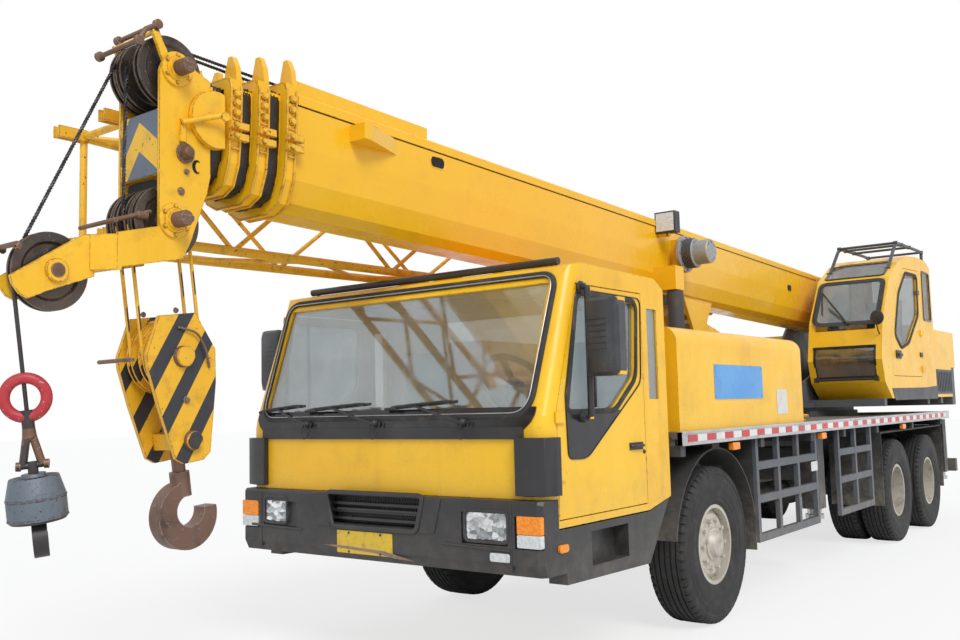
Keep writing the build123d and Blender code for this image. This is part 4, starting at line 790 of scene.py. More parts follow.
amber_lens = lens("amber_lens", (0.9, 0.22, 0.004), (0.98, 0.36, 0.02))
clear_lens = lens("clear_lens", (0.72, 0.74, 0.74), (0.55, 0.57, 0.58))
reflector = bpy.data.materials.new("faceted_reflector")
reflector.use_nodes = True
reflector_tree = reflector.node_tree
reflector_shader = reflector_tree.nodes["Principled BSDF"]
facets = reflector_tree.nodes.new("ShaderNodeTexVoronoi")
facets.inputs["Scale"].default_value = 24.0
reflector_place = reflector_tree.nodes.new("ShaderNodeTexCoord").outputs["Object"]
wire(reflector_tree, stretch(reflector_tree, reflector_place, 1.0, 1.0, 1.5), facets.inputs["Vector"])
# Each facet gets a random tone from dark grey to near white: painted glints and painted reflections on the
# chrome.
painted_facet_glints = between(reflector_tree, facets.outputs["Color"], 0.1, 0.9)
wire(
    reflector_tree, over(reflector_tree, painted_facet_glints, (0.16, 0.17, 0.18), (0.9, 0.92, 0.93)),
    reflector_shader.inputs["Base Color"],
)
reflector_shader.inputs["Metallic"].default_value = 0.6
reflector_shader.inputs["Roughness"].default_value = 0.12
facet_bump = reflector_tree.nodes.new("ShaderNodeBump")
facet_bump.inputs["Strength"].default_value = 0.9
facet_bump.inputs["Distance"].default_value = 0.01
wire(reflector_tree, facets.outputs["Distance"], facet_bump.inputs["Height"])
wire(reflector_tree, facet_bump.outputs["Normal"], reflector_shader.inputs["Normal"])

heads = bmesh.new()
bezels = bmesh.new()
ambers = bmesh.new()
clears = bmesh.new()
for side, x0, x1, z0, z1 in ((1, 0.7, 0.978, 0.818, 0.968), (-1, 0.77, 0.97, 0.832, 0.982)):
    outline = rounded_box(side * x0, z0, side * x1, z1, 0.022, 5)
    add_sheet(heads, outline, on_bumper, -0.02, -0.006)
    add_gasket(bezels, outline, on_bumper, 0.016, 0.006)
    back = rounded_box(side * 0.672, 0.797, side * 0.983, 0.984, 0.02, 4)
    add_sheet(bezels, back, on_bumper, -0.05, -0.02)
    top = rounded_box(side * 1.046, 0.862, side * 1.2, 0.958, 0.008, 3)
    add_sheet(ambers, top, on_bumper, -0.09, 0.002)
    low = rounded_box(side * 1.046, 0.792, side * 1.2, 0.86, 0.008, 3)
    add_sheet(clears, low, on_bumper, -0.09, 0.002)
    add_sheet(
        bezels, rounded_box(side * 1.03, 0.782, side * 1.202, 0.968, 0.006, 3), on_bumper, -0.094, -0.03,
    )
    # oval side marker behind the corner
    marker = rounded_box(-3.745, 0.752, -3.655, 0.795, 0.02, 5)
    add_sheet(ambers, marker, lambda y, z, out, s=side: Vector((s * (cab_side + out), y, z)), -0.004, 0.014)
fog = rounded_box(0.866, 0.71, 1.0, 0.757, 0.012, 4)
add_sheet(clears, fog, on_bumper, -0.004, 0.006)
add_gasket(bezels, fog, on_bumper, 0.006, 0.007)
headlamps = piece("headlamp_reflectors", heads, reflector, "carrier", bevel=0.002)
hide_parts("lamps")
piece("lamp_bezels", bezels, black_paint, "carrier")
piece("amber_lamps", ambers, amber_lens, "carrier", bevel=0.003)
piece("clear_lamps", clears, clear_lens, "carrier", bevel=0.003)

# ---------------------------------------------------------------- carrier cab's doors
# Pressed steel doors with a framed window whose lower edge slants up, over a black plastic corner panel. Each
# has a black pull handle, and a mirror with a ribbed housing.
mirror_y = -3.46
mirror_feet = (1.47, 2.2)
door_corners = ((-3.6, 1.512), (-3.094, 1.512), (-2.835, 1.7), (-2.8, 2.15), (-3.462, 2.15))
door_panel = (
    (-3.628, 1.59), (-3.612, 1.245), (-3.421, 1.238), (-2.765, 1.666), (-2.737, 2.182), (-3.481, 2.185),
)
door_glass = rounded(door_corners, (0.03, 0.05, 0.05, 0.05, 0.05), 5)
tinted = pane_glass("tinted_window_glass", (0.3, 0.36, 0.38), 0.62, 0.6)
ribbed = paint(
    "mirror_plastic", (0.022, 0.023, 0.026), (0.05, 0.052, 0.058), grime=(0.2, 0.2, 0.2), grime_share=0.15,
    rough=0.32, size=3.0,
)
for side, name in ((1, "left"), (-1, "right")):
    body = "cab_door_" + name + "_body"

    def on_side(y, z, out, side=side):
        """A point on the door's outer face."""
        return Vector((side * (cab_side + out), y, z))

    bm = bmesh.new()
    add_sheet(bm, door_glass, on_side, -0.026, -0.02)
    piece("door_glass_" + name, bm, tinted, body)
    bm = bmesh.new()
    add_gasket(bm, door_glass, on_side, 0.032, 0.009)
    add_box(bm, (side * cab_side - 0.02, -3.3, 1.52), (side * cab_side - 0.004, -3.28, 2.145))
    piece("door_window_rubber_" + name, bm, rubber, body, smooth=50)
    bm = bmesh.new()
    lower = rounded(
        ((-3.628, 1.5), (-3.612, 1.245), (-3.421, 1.238), (-3.03, 1.5)), (0.0, 0.045, 0.06, 0.0), 5,
    )
    add_sheet(bm, lower, on_side, 0.0, 0.005)
    add_gasket(bm, rounded(door_panel, (0.02, 0.04, 0.06, 0.05, 0.05, 0.05), 5), on_side, 0.007, 0.008)
    piece("door_corner_panel_" + name, bm, gloss_black, body, bevel=0.001)
    bm = bmesh.new()
    add_box(bm, (side * cab_side - 0.004, -2.93, 1.255), (side * cab_side + 0.006, -2.765, 1.3))
    add_pipe(
        bm,
        bend(
            [
                on_side(y, 1.28, out)
                for y, out in ((-2.92, 0.004), (-2.905, 0.028), (-2.79, 0.028), (-2.775, 0.004))
            ],
            0.4, 3,
        ),
        0.009, 8,
    )
    add_turned(bm, ((0, 0.014), (0.008, 0.012), (0.009, 0.0)), on_side(-2.75, 1.24, 0.0), (side, 0, 0), 12)
    add_turned(
        bm, ((0, 0.034), (0.014, 0.032), (0.03, 0.02), (0.032, 0.0)),
        on_side(mirror_y, mirror_feet[0], 0.005),
        (side, 0, 0), 20,
    )
    add_turned(
        bm, ((0, 0.022), (0.03, 0.02), (0.032, 0.0)), on_side(mirror_y, mirror_feet[1], 0.0), (side, 0, 0),
        16,
    )
    piece("door_handle_" + name, bm, black_paint, body, bevel=0.002)
    # ribbed mirror housing over the plain one
    bm = bmesh.new()
    x0, x1 = side * 1.268, side * 1.482
    face = rounded_box(x0, 1.69, x1, 2.125, (0.03, 0.05, 0.05, 0.03), 6)
    slim = rounded_box(x0 + side * 0.02, 1.71, x1 - side * 0.02, 2.105, (0.03, 0.05, 0.05, 0.03), 6)
    rings = []
    for outline, y in ((slim, -3.52), (face, -3.5), (face, -3.43), (slim, -3.415)):
        rings.append([bm.verts.new((p.x, y, p.y)) for p in outline])
    for first, second in zip(rings, rings[1:]):
        for k in range(len(face)):
            j = (k + 1) % len(face)
            bm.faces.new((first[k], first[j], second[j], second[k]))
    bm.faces.new(rings[0])
    bm.faces.new(list(reversed(rings[-1])))
    for k in range(6):
        z = 1.84 + k * 0.033
        add_rod(bm, (x0 + side * 0.02, -3.521, z), (x1 - side * 0.075, -3.521, z), 0.0035, 6)
    piece("mirror_housing_" + name, bm, ribbed, body, smooth=40)
    bm = bmesh.new()
    add_sheet(bm, slim, lambda x, z, out: Vector((x, -3.414 + out, z)), -0.002, 0.002)
    piece("mirror_glass_" + name, bm, polished_rod, body)

# ---------------------------------------------------------------- mirror arms
# Black cranked pipe on two round feet on the door. It carries the mirror's housing.
for side, name in ((1, "left"), (-1, "right")):
    bm = bmesh.new()
    foot = side * cab_side
    arm = side * 1.262
    low, high = mirror_feet
    route = [Vector((x, mirror_y, z)) for x, z in ((foot, low), (arm, low), (arm, high), (foot, high))]
    add_pipe(bm, bend(route, 0.08, 5), 0.0185, 14)
    for z in mirror_feet:
        add_turned(
            bm, ((0, 0.034), (0.012, 0.03), (0.014, 0.02)), (side * (cab_side + 0.018), mirror_y, z),
            (side, 0, 0), 18,
        )
    piece("mirror_arm_" + name, bm, black_paint, "cab_door_" + name + "_body")

# ---------------------------------------------------------------- boom grease
# Grease squeezed out of the slide pads lies on each section where it enters the next. It is thick, black and
# wet, wiped into lumps all round the tube.
pivot_y = 4.67
pivot_z = 2.55
boom_rise = math.radians(1.47)
boom_offset = 0.132
# half width, half depth and distance of the collar's face from the foot pin, for each section
boom_sections = (
    ("boom", 0.237, 0.320, 9.46),
    ("section_2", 0.210, 0.293, 9.625),
    ("section_3", 0.183, 0.266, 9.78),
    ("section_4", 0.156, 0.239, 9.93),
)
section_shape = ((1.0, 0.86), (1.0, 0.06), (0.94, -0.5), (0.755, -0.87), (0.41, -1.0))
collar_thick = 0.074
collar_grow = 0.022


def on_boom(x, up, forward):
    """A point beside the boom, by its height over the tube's middle and its distance from the foot pin."""
    rise = up + boom_offset
    return Vector((
        x, pivot_y - forward * math.cos(boom_rise) + rise * math.sin(boom_rise),
        pivot_z + forward * math.sin(boom_rise) + rise * math.cos(boom_rise),
    ))


def tube_loop(half_w, half_d, cuts=6):
    """The outline of a section with each flat divided into short runs."""
    right = [(a * half_w, b * half_d) for a, b in section_shape]
    corners = [
        (-0.9 * half_w, half_d), (0.9 * half_w, half_d),
    ] + right + [(-x, z) for x, z in reversed(right)]
    loop = []
    for k, corner in enumerate(corners):
        here = Vector(corner)
        ahead_point = Vector(corners[(k + 1) % len(corners)])
        loop += [here.lerp(ahead_point, j / cuts) for j in range(cuts)]
    return loop


grease = paint(
    "wet_grease", (0.008, 0.007, 0.008), (0.016, 0.013, 0.013), grime=(0.06, 0.03, 0.02), grime_share=0.5,
    rough=0.2, size=4.0, dent=0.9,
)
for (_, _, _, face), (body, half_w, half_d, next_face) in zip(boom_sections, boom_sections[1:]):
    bm = bmesh.new()
    loop = tube_loop(half_w, half_d)
    ways = outward(loop)
    rows = []
    start = face + 0.002
    end = next_face - collar_thick - 0.002
    for j in range(8):
        forward = start + (end - start) * j / 7
        row = []
        for k, (point, way) in enumerate(zip(loop, ways)):
            swell = 0.006 + 0.005 * math.sin(2.1 * k + 1.7 * j) * math.sin(0.7 * k - 1.1 * j + face * 9)
            swell += 0.004 * (1 - point.y / half_d)
            fade = 0.0 if j in (0, 7) else 1.0
            spot = point + way * (swell * fade - 0.001 * (1 - fade))
            row.append(bm.verts.new(on_boom(spot.x, spot.y, forward)))
        rows.append(row)
    for row, ahead_row in zip(rows, rows[1:]):
        for k in range(len(row)):
            j = (k + 1) % len(row)
            bm.faces.new((row[k], row[j], ahead_row[j], ahead_row[k]))
    piece("grease_on_" + body, bm, grease, body, smooth=80)

# ---------------------------------------------------------------- boom collars
# Each collar is a channel of two bent flanges. Adjusting bolts for the slide pads stand in a row up its sides,
# and a clamp of two bolted blocks sits on each side at mid height.
flange_thick = 0.012
for body, half_w, half_d, face in boom_sections[:3]:
    bm = bmesh.new()
    outer = tube_loop(half_w + collar_grow, half_d + collar_grow)
    for start in (face - collar_thick, face - flange_thick):
        rings = []
        for forward, out in (
            (start, 0.0), (start, 0.01), (start + flange_thick, 0.01), (start + flange_thick, 0.0),
        ):
            rings.append([
                bm.verts.new(
                    on_boom(*(point + way * out), forward)
                ) for point, way in zip(outer, outward(outer))
            ])
        for a, b in ((0, 1), (1, 2), (2, 3), (3, 0)):
            for k in range(len(outer)):
                j = (k + 1) % len(outer)
                bm.faces.new((rings[a][k], rings[a][j], rings[b][j], rings[b][k]))
    piece("collar_flanges_" + body, bm, worn_yellow, body, bevel=0.002)
    bm = bmesh.new()
    for side in (-1, 1):
        x = side * (half_w + collar_grow)
        for up in (half_d * 0.42, half_d * 0.62, half_d * 0.8):
            add_bolt(bm, on_boom(x, up, face - collar_thick * 0.5), (side, 0, 0), across=0.018, tall=0.026)
        clamp_up = half_d * 0.06
        for up in (clamp_up - 0.028, clamp_up + 0.028):
            low = on_boom(x, up - 0.02, face + 0.004)
            high = on_boom(x + side * 0.03, up + 0.02, face - collar_thick - 0.03)
            add_box(
                bm, (min(low.x, high.x), min(low.y, high.y), low.z),
                (max(low.x, high.x), max(low.y, high.y), high.z),
            )
            add_bolt(bm, on_boom(x + side * 0.03, up, face - 0.02), (side, 0, 0), across=0.014, tall=0.014)
        for up in (-0.15, 0.0, 0.15):
            add_box(
                bm, on_boom(min(x, x + side * 0.008), half_d * 0.3 + up - 0.006, face - flange_thick),
                on_boom(
                    max(x, x + side * 0.008), half_d * 0.3 + up + 0.006, face - collar_thick + flange_thick,
                ),
            )
    piece("collar_bolts_" + body, bm, worn_yellow, body, bevel=0.0025)

# ---------------------------------------------------------------- boom rail
# Folded cover strip along the top corner of the base section, above a gap drawn as a dark strip of painted
# shade. It ends in a bolt at the rear.
bm = bmesh.new()
gap = bmesh.new()
base_w = 0.237
rail_front = 9.36
rail_rear = 1.1
for side in (-1, 1):
    x = side * base_w
    for low_up, high_up, out, made in ((0.25, 0.3, 0.008, bm), (0.244, 0.25, 0.002, gap)):
        ring = [
            on_boom(x - side * 0.002, low_up, rail_rear), on_boom(x + side * out, low_up, rail_rear),
            on_boom(x + side * out, high_up, rail_rear), on_boom(x - side * 0.002, high_up, rail_rear),
        ]
        ring += [point + on_boom(0, 0, rail_front) - on_boom(0, 0, rail_rear) for point in ring]
        corners = [made.verts.new(point) for point in ring]
        for a, b, c, d in (
            (0, 1, 2, 3), (7, 6, 5, 4), (0, 4, 5, 1), (1, 5, 6, 2), (2, 6, 7, 3), (3, 7, 4, 0),
        ):
            made.faces.new((corners[a], corners[b], corners[c], corners[d]))
    add_bolt(bm, on_boom(x + side * 0.008, 0.272, rail_rear + 0.06), (side, 0, 0), across=0.014, tall=0.01)
piece("boom_cover_rail", bm, boom_yellow, "boom", bevel=0.004)
piece("boom_rail_gap_shade", gap, painted_shade_fill, "boom")

# ---------------------------------------------------------------- boom hand holes
# Oval holes cut in the base section's sides to reach the ropes and rollers, drawn as dark sheets of painted
# shade, with a thin rim.
hole_spots = ((-3.518, 3.075), (2.652, 2.793))
bm = bmesh.new()
rims = bmesh.new()
for side in (-1, 1):
    for y, z in hole_spots:
        loop = rounded_box(y - 0.065, z - 0.033, y + 0.065, z + 0.033, 0.032)

        def on_side(a, b, out, side=side):
            """A point on the tube's side."""
            return Vector((side * (base_w + 0.0008 + out), a, b))

        add_sheet(bm, loop, on_side, 0.0, 0.0012)
        add_gasket(rims, loop, on_side, 0.007, 0.003)
piece("boom_hand_hole_shade", bm, painted_shade_fill, "boom")
piece("boom_hand_hole_rims", rims, boom_yellow, "boom")

# ---------------------------------------------------------------- boom head plates
# Two flame-cut plates carry all the sheave pins. The pins are brown with rust, and turn in flange rings with
# six bolts each. A guard bar and strap keep the rope on the upper sheaves.


def banded(tree, place, ways, start, pitch, share):
    """High on every other band across one or more directions, the furthest of which counts."""
    value = None
    for way in ways:
        dot = tree.nodes.new("ShaderNodeVectorMath")
        dot.operation = "DOT_PRODUCT"
        wire(tree, place, dot.inputs[0])
        dot.inputs[1].default_value = way
        if value is None:
            value = dot.outputs["Value"]
        else:
            most = tree.nodes.new("ShaderNodeMath")
            most.operation = "MAXIMUM"
            wire(tree, value, most.inputs[0])
            wire(tree, dot.outputs["Value"], most.inputs[1])
            value = most.outputs[0]
    for kind, number in (("SUBTRACT", start), ("DIVIDE", pitch), ("FRACT", 0.0)):
        step = tree.nodes.new("ShaderNodeMath")
        step.operation = kind
        wire(tree, value, step.inputs[0])
        if kind != "FRACT":
            step.inputs[1].default_value = number
        value = step.outputs[0]
    return between(tree, value, share - 0.01, share + 0.01, 1.0, 0.0)


def striped(name, colour, band_colour, ways, start, pitch, share, facing=None):
    """Worn paint in two colours, in bands, and only on faces that look along facing."""
    material = paint(
        name, colour, tuple(c * 1.1 for c in colour), grime=(0.12, 0.07, 0.03), grime_share=0.45,
        rough=0.45, size=2.0, chip=0.35, edge=0.9, dent=0.25,
    )
    tree = material.node_tree
    place = tree.nodes.new("ShaderNodeTexCoord")
    bands = banded(tree, place.outputs["Object"], ways, start, pitch, share)
    if facing:
        dot = tree.nodes.new("ShaderNodeVectorMath")
        dot.operation = "DOT_PRODUCT"
        wire(tree, place.outputs["Normal"], dot.inputs[0])
        dot.inputs[1].default_value = facing
        bands = sum_of(tree, bands, between(tree, dot.outputs["Value"], 0.85, 0.9))
    first = [n for n in tree.nodes if n.bl_idname == "ShaderNodeMix"][0]
    keep = first.outputs[2].links[0].to_socket
    wire(tree, over(tree, bands, first.outputs[2], band_colour), keep)
    return material


head_yellow = paint(
    "head_yellow", machine_yellow, (0.9, 0.52, 0.03), grime=(0.16, 0.08, 0.02), grime_share=0.35,
    streak=0.12, chip=0.12, edge=1.0, rough=0.36, size=1.6, dent=0.2,
)
dress(head_yellow, "boom_head")
sheave_iron = paint(
    "sheave_iron", (0.055, 0.05, 0.052), (0.11, 0.085, 0.07), grime=(0.016, 0.014, 0.014), grime_share=0.9,
    chip=0.5, edge=0.9, chip_colour=(0.3, 0.2, 0.13), rough=0.42, metal=0.7, size=2.0, dent=0.4,
)
dress(sheave_iron, "head_sheaves")
slate_blue = (0.11, 0.14, 0.19)
plate_stripes = striped(
    "chevrons", slate_blue, (0.86, 0.5, 0.04), ((0.75, 0.0, 1.0), (-1.3, 0.0, 1.0)), 2.803, 0.285, 0.5,
)
bm = bmesh.new()
front_loop = rounded_box(-0.158, 2.67, 0.158, 2.984, 0.012)


def on_head_front(a, b, out):
    """A point on the plate across the head's front."""
    return Vector((a, -5.472 - out, b))


add_sheet(bm, front_loop, on_head_front, 0.0, 0.003)
piece("head_front_plate", bm, plate_stripes, "section_4", bevel=0.001)

pin_brown = paint(
    "pin_brown", (0.16, 0.085, 0.05), (0.24, 0.15, 0.1), grime=(0.04, 0.025, 0.02), grime_share=0.7,
    chip=0.4, edge=0.8, chip_colour=(0.45, 0.38, 0.33), rough=0.5, metal=0.6, size=3.0, dent=0.4,
)
head_half = 0.17
pin_end = head_half + 0.1
nose_half = 0.065
top_axle = Vector((0, -5.388, 3.192))
low_axle = Vector((0, -5.398, 2.452))
nose_axle = Vector((0, -5.92, 2.175))
flanges = bmesh.new()
pins = bmesh.new()
for side in (-1, 1):
    for axle in (top_axle, low_axle):
        y, z = axle.y, axle.z
        centre = (side * head_half, y, z)
        add_turned(
            flanges, (
                (0, 0.085), (0.012, 0.085), (0.014, 0.08), (0.014, 0.052), (0.03, 0.05), (0.03, 0.04),
            ), centre,
            (side, 0, 0),
        )
        for k in range(6):
            angle = math.tau * (k + 0.5) / 6
            spot = Vector(centre) + Vector((side * 0.014, 0.068 * math.cos(angle), 0.068 * math.sin(angle)))
            add_bolt(flanges, spot, (side, 0, 0), across=0.009, tall=0.008)
        add_turned(pins, ((0.0, 0.04), (0.1, 0.038), (0.108, 0.034), (0.11, 0.02)), centre, (side, 0, 0))
        add_box(
            pins, (side * pin_end - 0.012, y - 0.036, z - 0.012),
            (side * pin_end + 0.012, y + 0.036, z + 0.012),
        )
piece("head_pin_flanges", flanges, head_yellow, "section_4", bevel=0.0015)
piece("head_pins", pins, pin_brown, "section_4", bevel=0.002)

guard = bmesh.new()
guard_radius = 0.2
for side in (-1, 1):
    strap = [
        top_axle + Vector((side * 0.15, -0.02, 0.02)), top_axle + Vector((side * 0.15, -0.07, 0.11)),
        top_axle + Vector((side * 0.15, -0.1, guard_radius - 0.012)),
    ]
    add_pipe(guard, strap, 0.011, 6)
bar_high = top_axle + Vector((0, -0.1, guard_radius - 0.004))
bar_low = top_axle + Vector((0, -0.2, 0.09))
for spot in (bar_high, bar_low):
    add_rod(guard, spot + Vector((-0.17, 0, 0)), spot + Vector((0.17, 0, 0)), 0.012)
    for x in (-0.165, 0.165):
        add_turned(
            guard, ((-0.014, 0.014), (-0.01, 0.024), (0.01, 0.024), (0.014, 0.014)),
            spot + Vector((x, 0, 0)), (1, 0, 0), 16,
        )
add_pipe(
    guard,
    [
        bar_high + Vector((0.165, 0, 0)), (bar_high + bar_low) / 2 + Vector((0.165, -0.014, 0.012)),
        bar_low + Vector((0.165, 0, 0)),
    ],
    0.012,
)
piece("sheave_guard", guard, pin_brown, "section_4")

# ---------------------------------------------------------------- side bracket of the head
# Brown domed bolt under a small welded plate. A yellow rod runs from the plate to the collar's clamp, beside a
# crescent hole and a slot cut in the plates.
bm = bmesh.new()
face_x = head_half + 0.001
add_box(bm, (face_x - 0.004, -5.372, 2.84), (face_x + 0.012, -5.338, 2.952))
add_rod(bm, (0.19, -5.369, 2.932), (0.252, -5.165, 3.0), 0.013)
add_turned(bm, ((0, 0.024), (0.012, 0.024), (0.012, 0.014)), (0.252, -5.165, 2.99), (1, 0, 0), 18)
piece("head_side_rod", bm, head_yellow, "section_4", bevel=0.001)
bm = bmesh.new()
add_turned(
    bm, (
        (0, 0.05), (0.008, 0.05), (0.01, 0.036), (0.03, 0.034), (0.045, 0.024), (0.05, 0.01),
    ), (face_x, -5.338, 2.79),
    (1, 0, 0), 24,
)
add_bolt(bm, (face_x, -5.33, 2.70), (1, 0, 0), across=0.012, tall=0.012)
add_bolt(bm, (face_x, -5.36, 2.60), (1, 0, 0), across=0.016, tall=0.01)
piece("head_domed_bolt", bm, pin_brown, "section_4")
# The crescent hole and the slot are dark sheets of painted shade.
bm = bmesh.new()
crescent = []
for k in range(17):
    angle = math.radians(60 + 240 * k / 16)
    crescent.append((-5.27 + 0.026 * math.cos(angle), 2.735 + 0.034 * math.sin(angle)))
for k in range(13):
    angle = math.radians(300 - 240 * k / 12)
    crescent.append((-5.262 + 0.017 * math.cos(angle), 2.735 + 0.026 * math.sin(angle)))
add_plate(bm, crescent, face_x - 0.001, face_x + 0.0015)
slot_loop = rounded([(-0.1, 2.55), (0.11, 2.55), (0.12, 2.655), (-0.12, 2.655)], 0.03)
add_sheet(bm, slot_loop, on_head_front, -0.016, -0.012)
piece("head_opening_shade", bm, painted_shade_fill, "section_4")

# ---------------------------------------------------------------- hoist ropes
# Laid steel ropes over the head. One goes on to the nose sheave and one down in front of the plate to the lower
# sheaves. Behind the upper sheaves both stop short above the collars: the way back to the winches isn't made.
wire_rope = paint(
    "wire_rope", (0.035, 0.033, 0.035), (0.08, 0.074, 0.07), grime=(0.02, 0.016, 0.014), grime_share=0.6,
    rough=0.4, metal=0.8, size=6.0, dent=0.6,
)


def add_rope(bm, start, end, radius=0.009, strands=6, pitch=0.09):
    """A laid rope: twisted strands round a line."""
    start = Vector(start)
    run = Vector(end) - start
    along = run.normalized()
    side = along.orthogonal().normalized()
    other = along.cross(side)
    rings = []
    turns = max(int(run.length / pitch * 5), 8)
    for j in range(turns + 1):
        ring = []
        for k in range(strands * 2):
            angle = math.tau * k / (strands * 2) + math.tau * run.length * j / turns / pitch
            out = radius * (1.08 if k % 2 else 0.84)
            ring.append(
                bm.verts.new(
                    start + run * j / turns + (side * math.cos(angle) + other * math.sin(angle)) * out
                )
            )
        rings.append(ring)
    for first, second in zip(rings, rings[1:]):
        for k in range(len(first)):
            j = (k + 1) % len(first)
            bm.faces.new((first[k], first[j], second[j], second[k]))
    bm.faces.new(list(reversed(rings[0])))
    bm.faces.new(rings[-1])


bm = bmesh.new()
add_rope(bm, (-0.072, -5.56, 3.23), (-0.02, -6.02, 2.315))
add_rope(bm, (0.024, -5.563, 3.19), (0.024, -5.575, 2.47))
add_rope(bm, (-0.024, -5.36, 3.36), (-0.05, -4.2, 3.32))
add_rope(bm, (0.024, -5.36, 3.36), (0.03, -4.2, 3.32))
piece("head_ropes", bm, wire_rope, "section_4", smooth=60)
bm = bmesh.new()
keeper_y, keeper_z = -5.688, 2.42
add_rod(bm, (-0.15, keeper_y, keeper_z), (0.15, keeper_y, keeper_z), 0.011)
add_rod(bm, (0.13, keeper_y, keeper_z), (0.13, -5.498, 2.488), 0.011)
add_turned(bm, ((0, 0.022), (0.05, 0.022), (0.056, 0.016)), (0.12, -5.513, 2.464), (0, -1, 0), 18)
for side in (-1, 1):
    add_turned(
        bm, (
            (0, 0.05), (0.01, 0.05), (0.012, 0.034), (0.022, 0.032), (0.024, 0.018),
        ), (side * nose_half, nose_axle.y, nose_axle.z), (side, 0, 0),
    )
    add_bolt(bm, (side * nose_half, -6.09, 2.26), (side, 0, 0), across=0.014, tall=0.014)
    add_bolt(bm, (side * nose_half, -5.72, 2.34), (side, 0, 0), across=0.014, tall=0.012)
add_rod(bm, (-0.075, -6.098, 2.271), (0.075, -6.098, 2.271), 0.012)
piece("nose_fittings", bm, pin_brown, "section_4", bevel=0.0015)

# ---------------------------------------------------------------- hook block
# Two thick cheeks on either side of the sheaves. The faces that look to the left have slanted warning bands.
# Pin caps, a keeper rod and small bolts hold it together, and its edges are worn to bare steel.
block_stripes = striped(
    "hook_block_bands", (0.8, 0.43, 0.02), (0.028, 0.03, 0.036), ((0.0, 1.0, -0.577),),
    -5.3 + 0.033 - 0.577 * 1.811, 0.19, 0.43, facing=(1.0, 0.0, 0.0),
)
dress(block_stripes, "hook_block")
bm = bmesh.new()
cheek_face = 0.1305
block_caps = ((0.052, -5.32, 1.811), (0.05, -5.262, 1.412))
for side in (-1, 1):
    x = side * cheek_face
    for cap, y, z in block_caps:
        profile = (
            (0, cap), (0.012, cap - 0.002), (0.02, cap - 0.008), (0.02, cap - 0.03), (0.014, cap - 0.032),
        )
        add_turned(bm, profile, (x, y, z), (side, 0, 0))
    add_bolt(bm, (x, -5.297, 1.604), (side, 0, 0), across=0.014, tall=0.014)
    add_bolt(bm, (x, -5.36, 2.03), (side, 0, 0), across=0.012, tall=0.012)
add_rod(bm, (-0.14, -5.591, 1.79), (0.14, -5.591, 1.79), 0.01)
add_pipe(
    bm,
    bend(
        [
            Vector((0.138, -5.35, 1.95)), Vector((0.15, -5.25, 1.93)), Vector((0.15, -5.2, 1.85)),
            Vector((0.138, -5.17, 1.76)),
        ]
    ),
    0.006, 8,
)
piece("hook_block_pins", bm, pin_brown, "hook", bevel=0.0015)

hook_steel = paint(
    "forged_hook", (0.13, 0.075, 0.055), (0.2, 0.12, 0.09), grime=(0.03, 0.022, 0.02), grime_share=0.85,
    chip=0.5, edge=0.9, chip_colour=(0.42, 0.33, 0.28), rough=0.45, metal=0.5, size=1.6, dent=0.6,
)
dress(hook_steel, "main_hook")

# ---------------------------------------------------------------- auxiliary hook
# A single fall of rope ends in a socket. Round it hangs the crimson ring that trips the hoist limit switch,
# and below are a brown fork and the blue-grey drum weight with its small black hook.
aux_steel = paint(
    "aux_hook_steel", (0.035, 0.033, 0.035), (0.07, 0.065, 0.065), grime=(0.1, 0.05, 0.03), grime_share=0.4,
    chip=0.3, edge=0.5, rough=0.45, metal=0.6, size=2.0, dent=0.4,
)
dress(aux_steel, "aux_hook")
crimson = paint(
    "crimson_ring", (0.42, 0.02, 0.03), (0.52, 0.06, 0.06), grime=(0.06, 0.02, 0.02), grime_share=0.6,
    chip=0.5, edge=0.8, chip_colour=(0.55, 0.45, 0.42), rough=0.42, size=3.0, dent=0.4,
)
drum_grey = paint(
    "drum_grey", (0.12, 0.15, 0.18), (0.17, 0.2, 0.23), grime=(0.05, 0.04, 0.035), grime_share=0.8,
    streak=0.3, chip=0.6, edge=0.8, rough=0.5, metal=0.3, size=2.5, dent=0.5,
)
aux_lean = math.radians(7.3)
aux_rope_turn = 0.162
aux_y = nose_axle.y - aux_rope_turn
aux_ring_z = 1.64
drum_top = 1.315


def hung(point):
    """A point on the plumb hook, leaned as the hook hangs at rest."""
    arm = Vector(point) - nose_axle
    return nose_axle + Vector((
        arm.x, arm.y * math.cos(aux_lean) - arm.z * math.sin(aux_lean),
        arm.y * math.sin(aux_lean) + arm.z * math.cos(aux_lean),
    ))


bm = bmesh.new()
ring_radius = 0.084
tube_radius = 0.0245
level = Vector((0.57, 0.82, 0)).normalized()
side = level.cross(Vector((0, 0, 1)))
rings = []
for k in range(40):
    angle = math.tau * k / 40
    out = level * math.cos(angle) + Vector((0, 0, 1)) * math.sin(angle)
    ring = []
    for j in range(14):
        turn = math.tau * j / 14
        spot = Vector((0, aux_y, aux_ring_z)) + out * (
            ring_radius + tube_radius * math.cos(turn)
        ) + side * tube_radius * math.sin(turn)
        ring.append(bm.verts.new(hung(spot)))
    rings.append(ring)
for k, ring in enumerate(rings):
    after = rings[(k + 1) % 40]
    for j in range(14):
        i = (j + 1) % 14
        bm.faces.new((ring[j], ring[i], after[i], after[j]))
piece("hoist_limit_ring", bm, crimson, "aux_hook_body", smooth=80)
bm = bmesh.new()
axis = hung((0, aux_y, 1.0)) - hung((0, aux_y, 1.4))
add_turned(
    bm, (
        (0, 0.048), (0.014, 0.054), (0.014, 0.099), (0.02, 0.102), (0.094, 0.12), (0.1, 0.1215),
        (0.19, 0.1215), (0.2, 0.113),
    ),
    hung((0, aux_y, drum_top)), axis, 40,
)
for along in (0.1, 0.186):
    add_turned(
        bm, ((along, 0.123), (along + 0.006, 0.1235), (along + 0.008, 0.12)), hung((0, aux_y, drum_top)),
        axis, 40,
    )
piece("aux_drum_weight", bm, drum_grey, "aux_hook_body")
bm = bmesh.new()
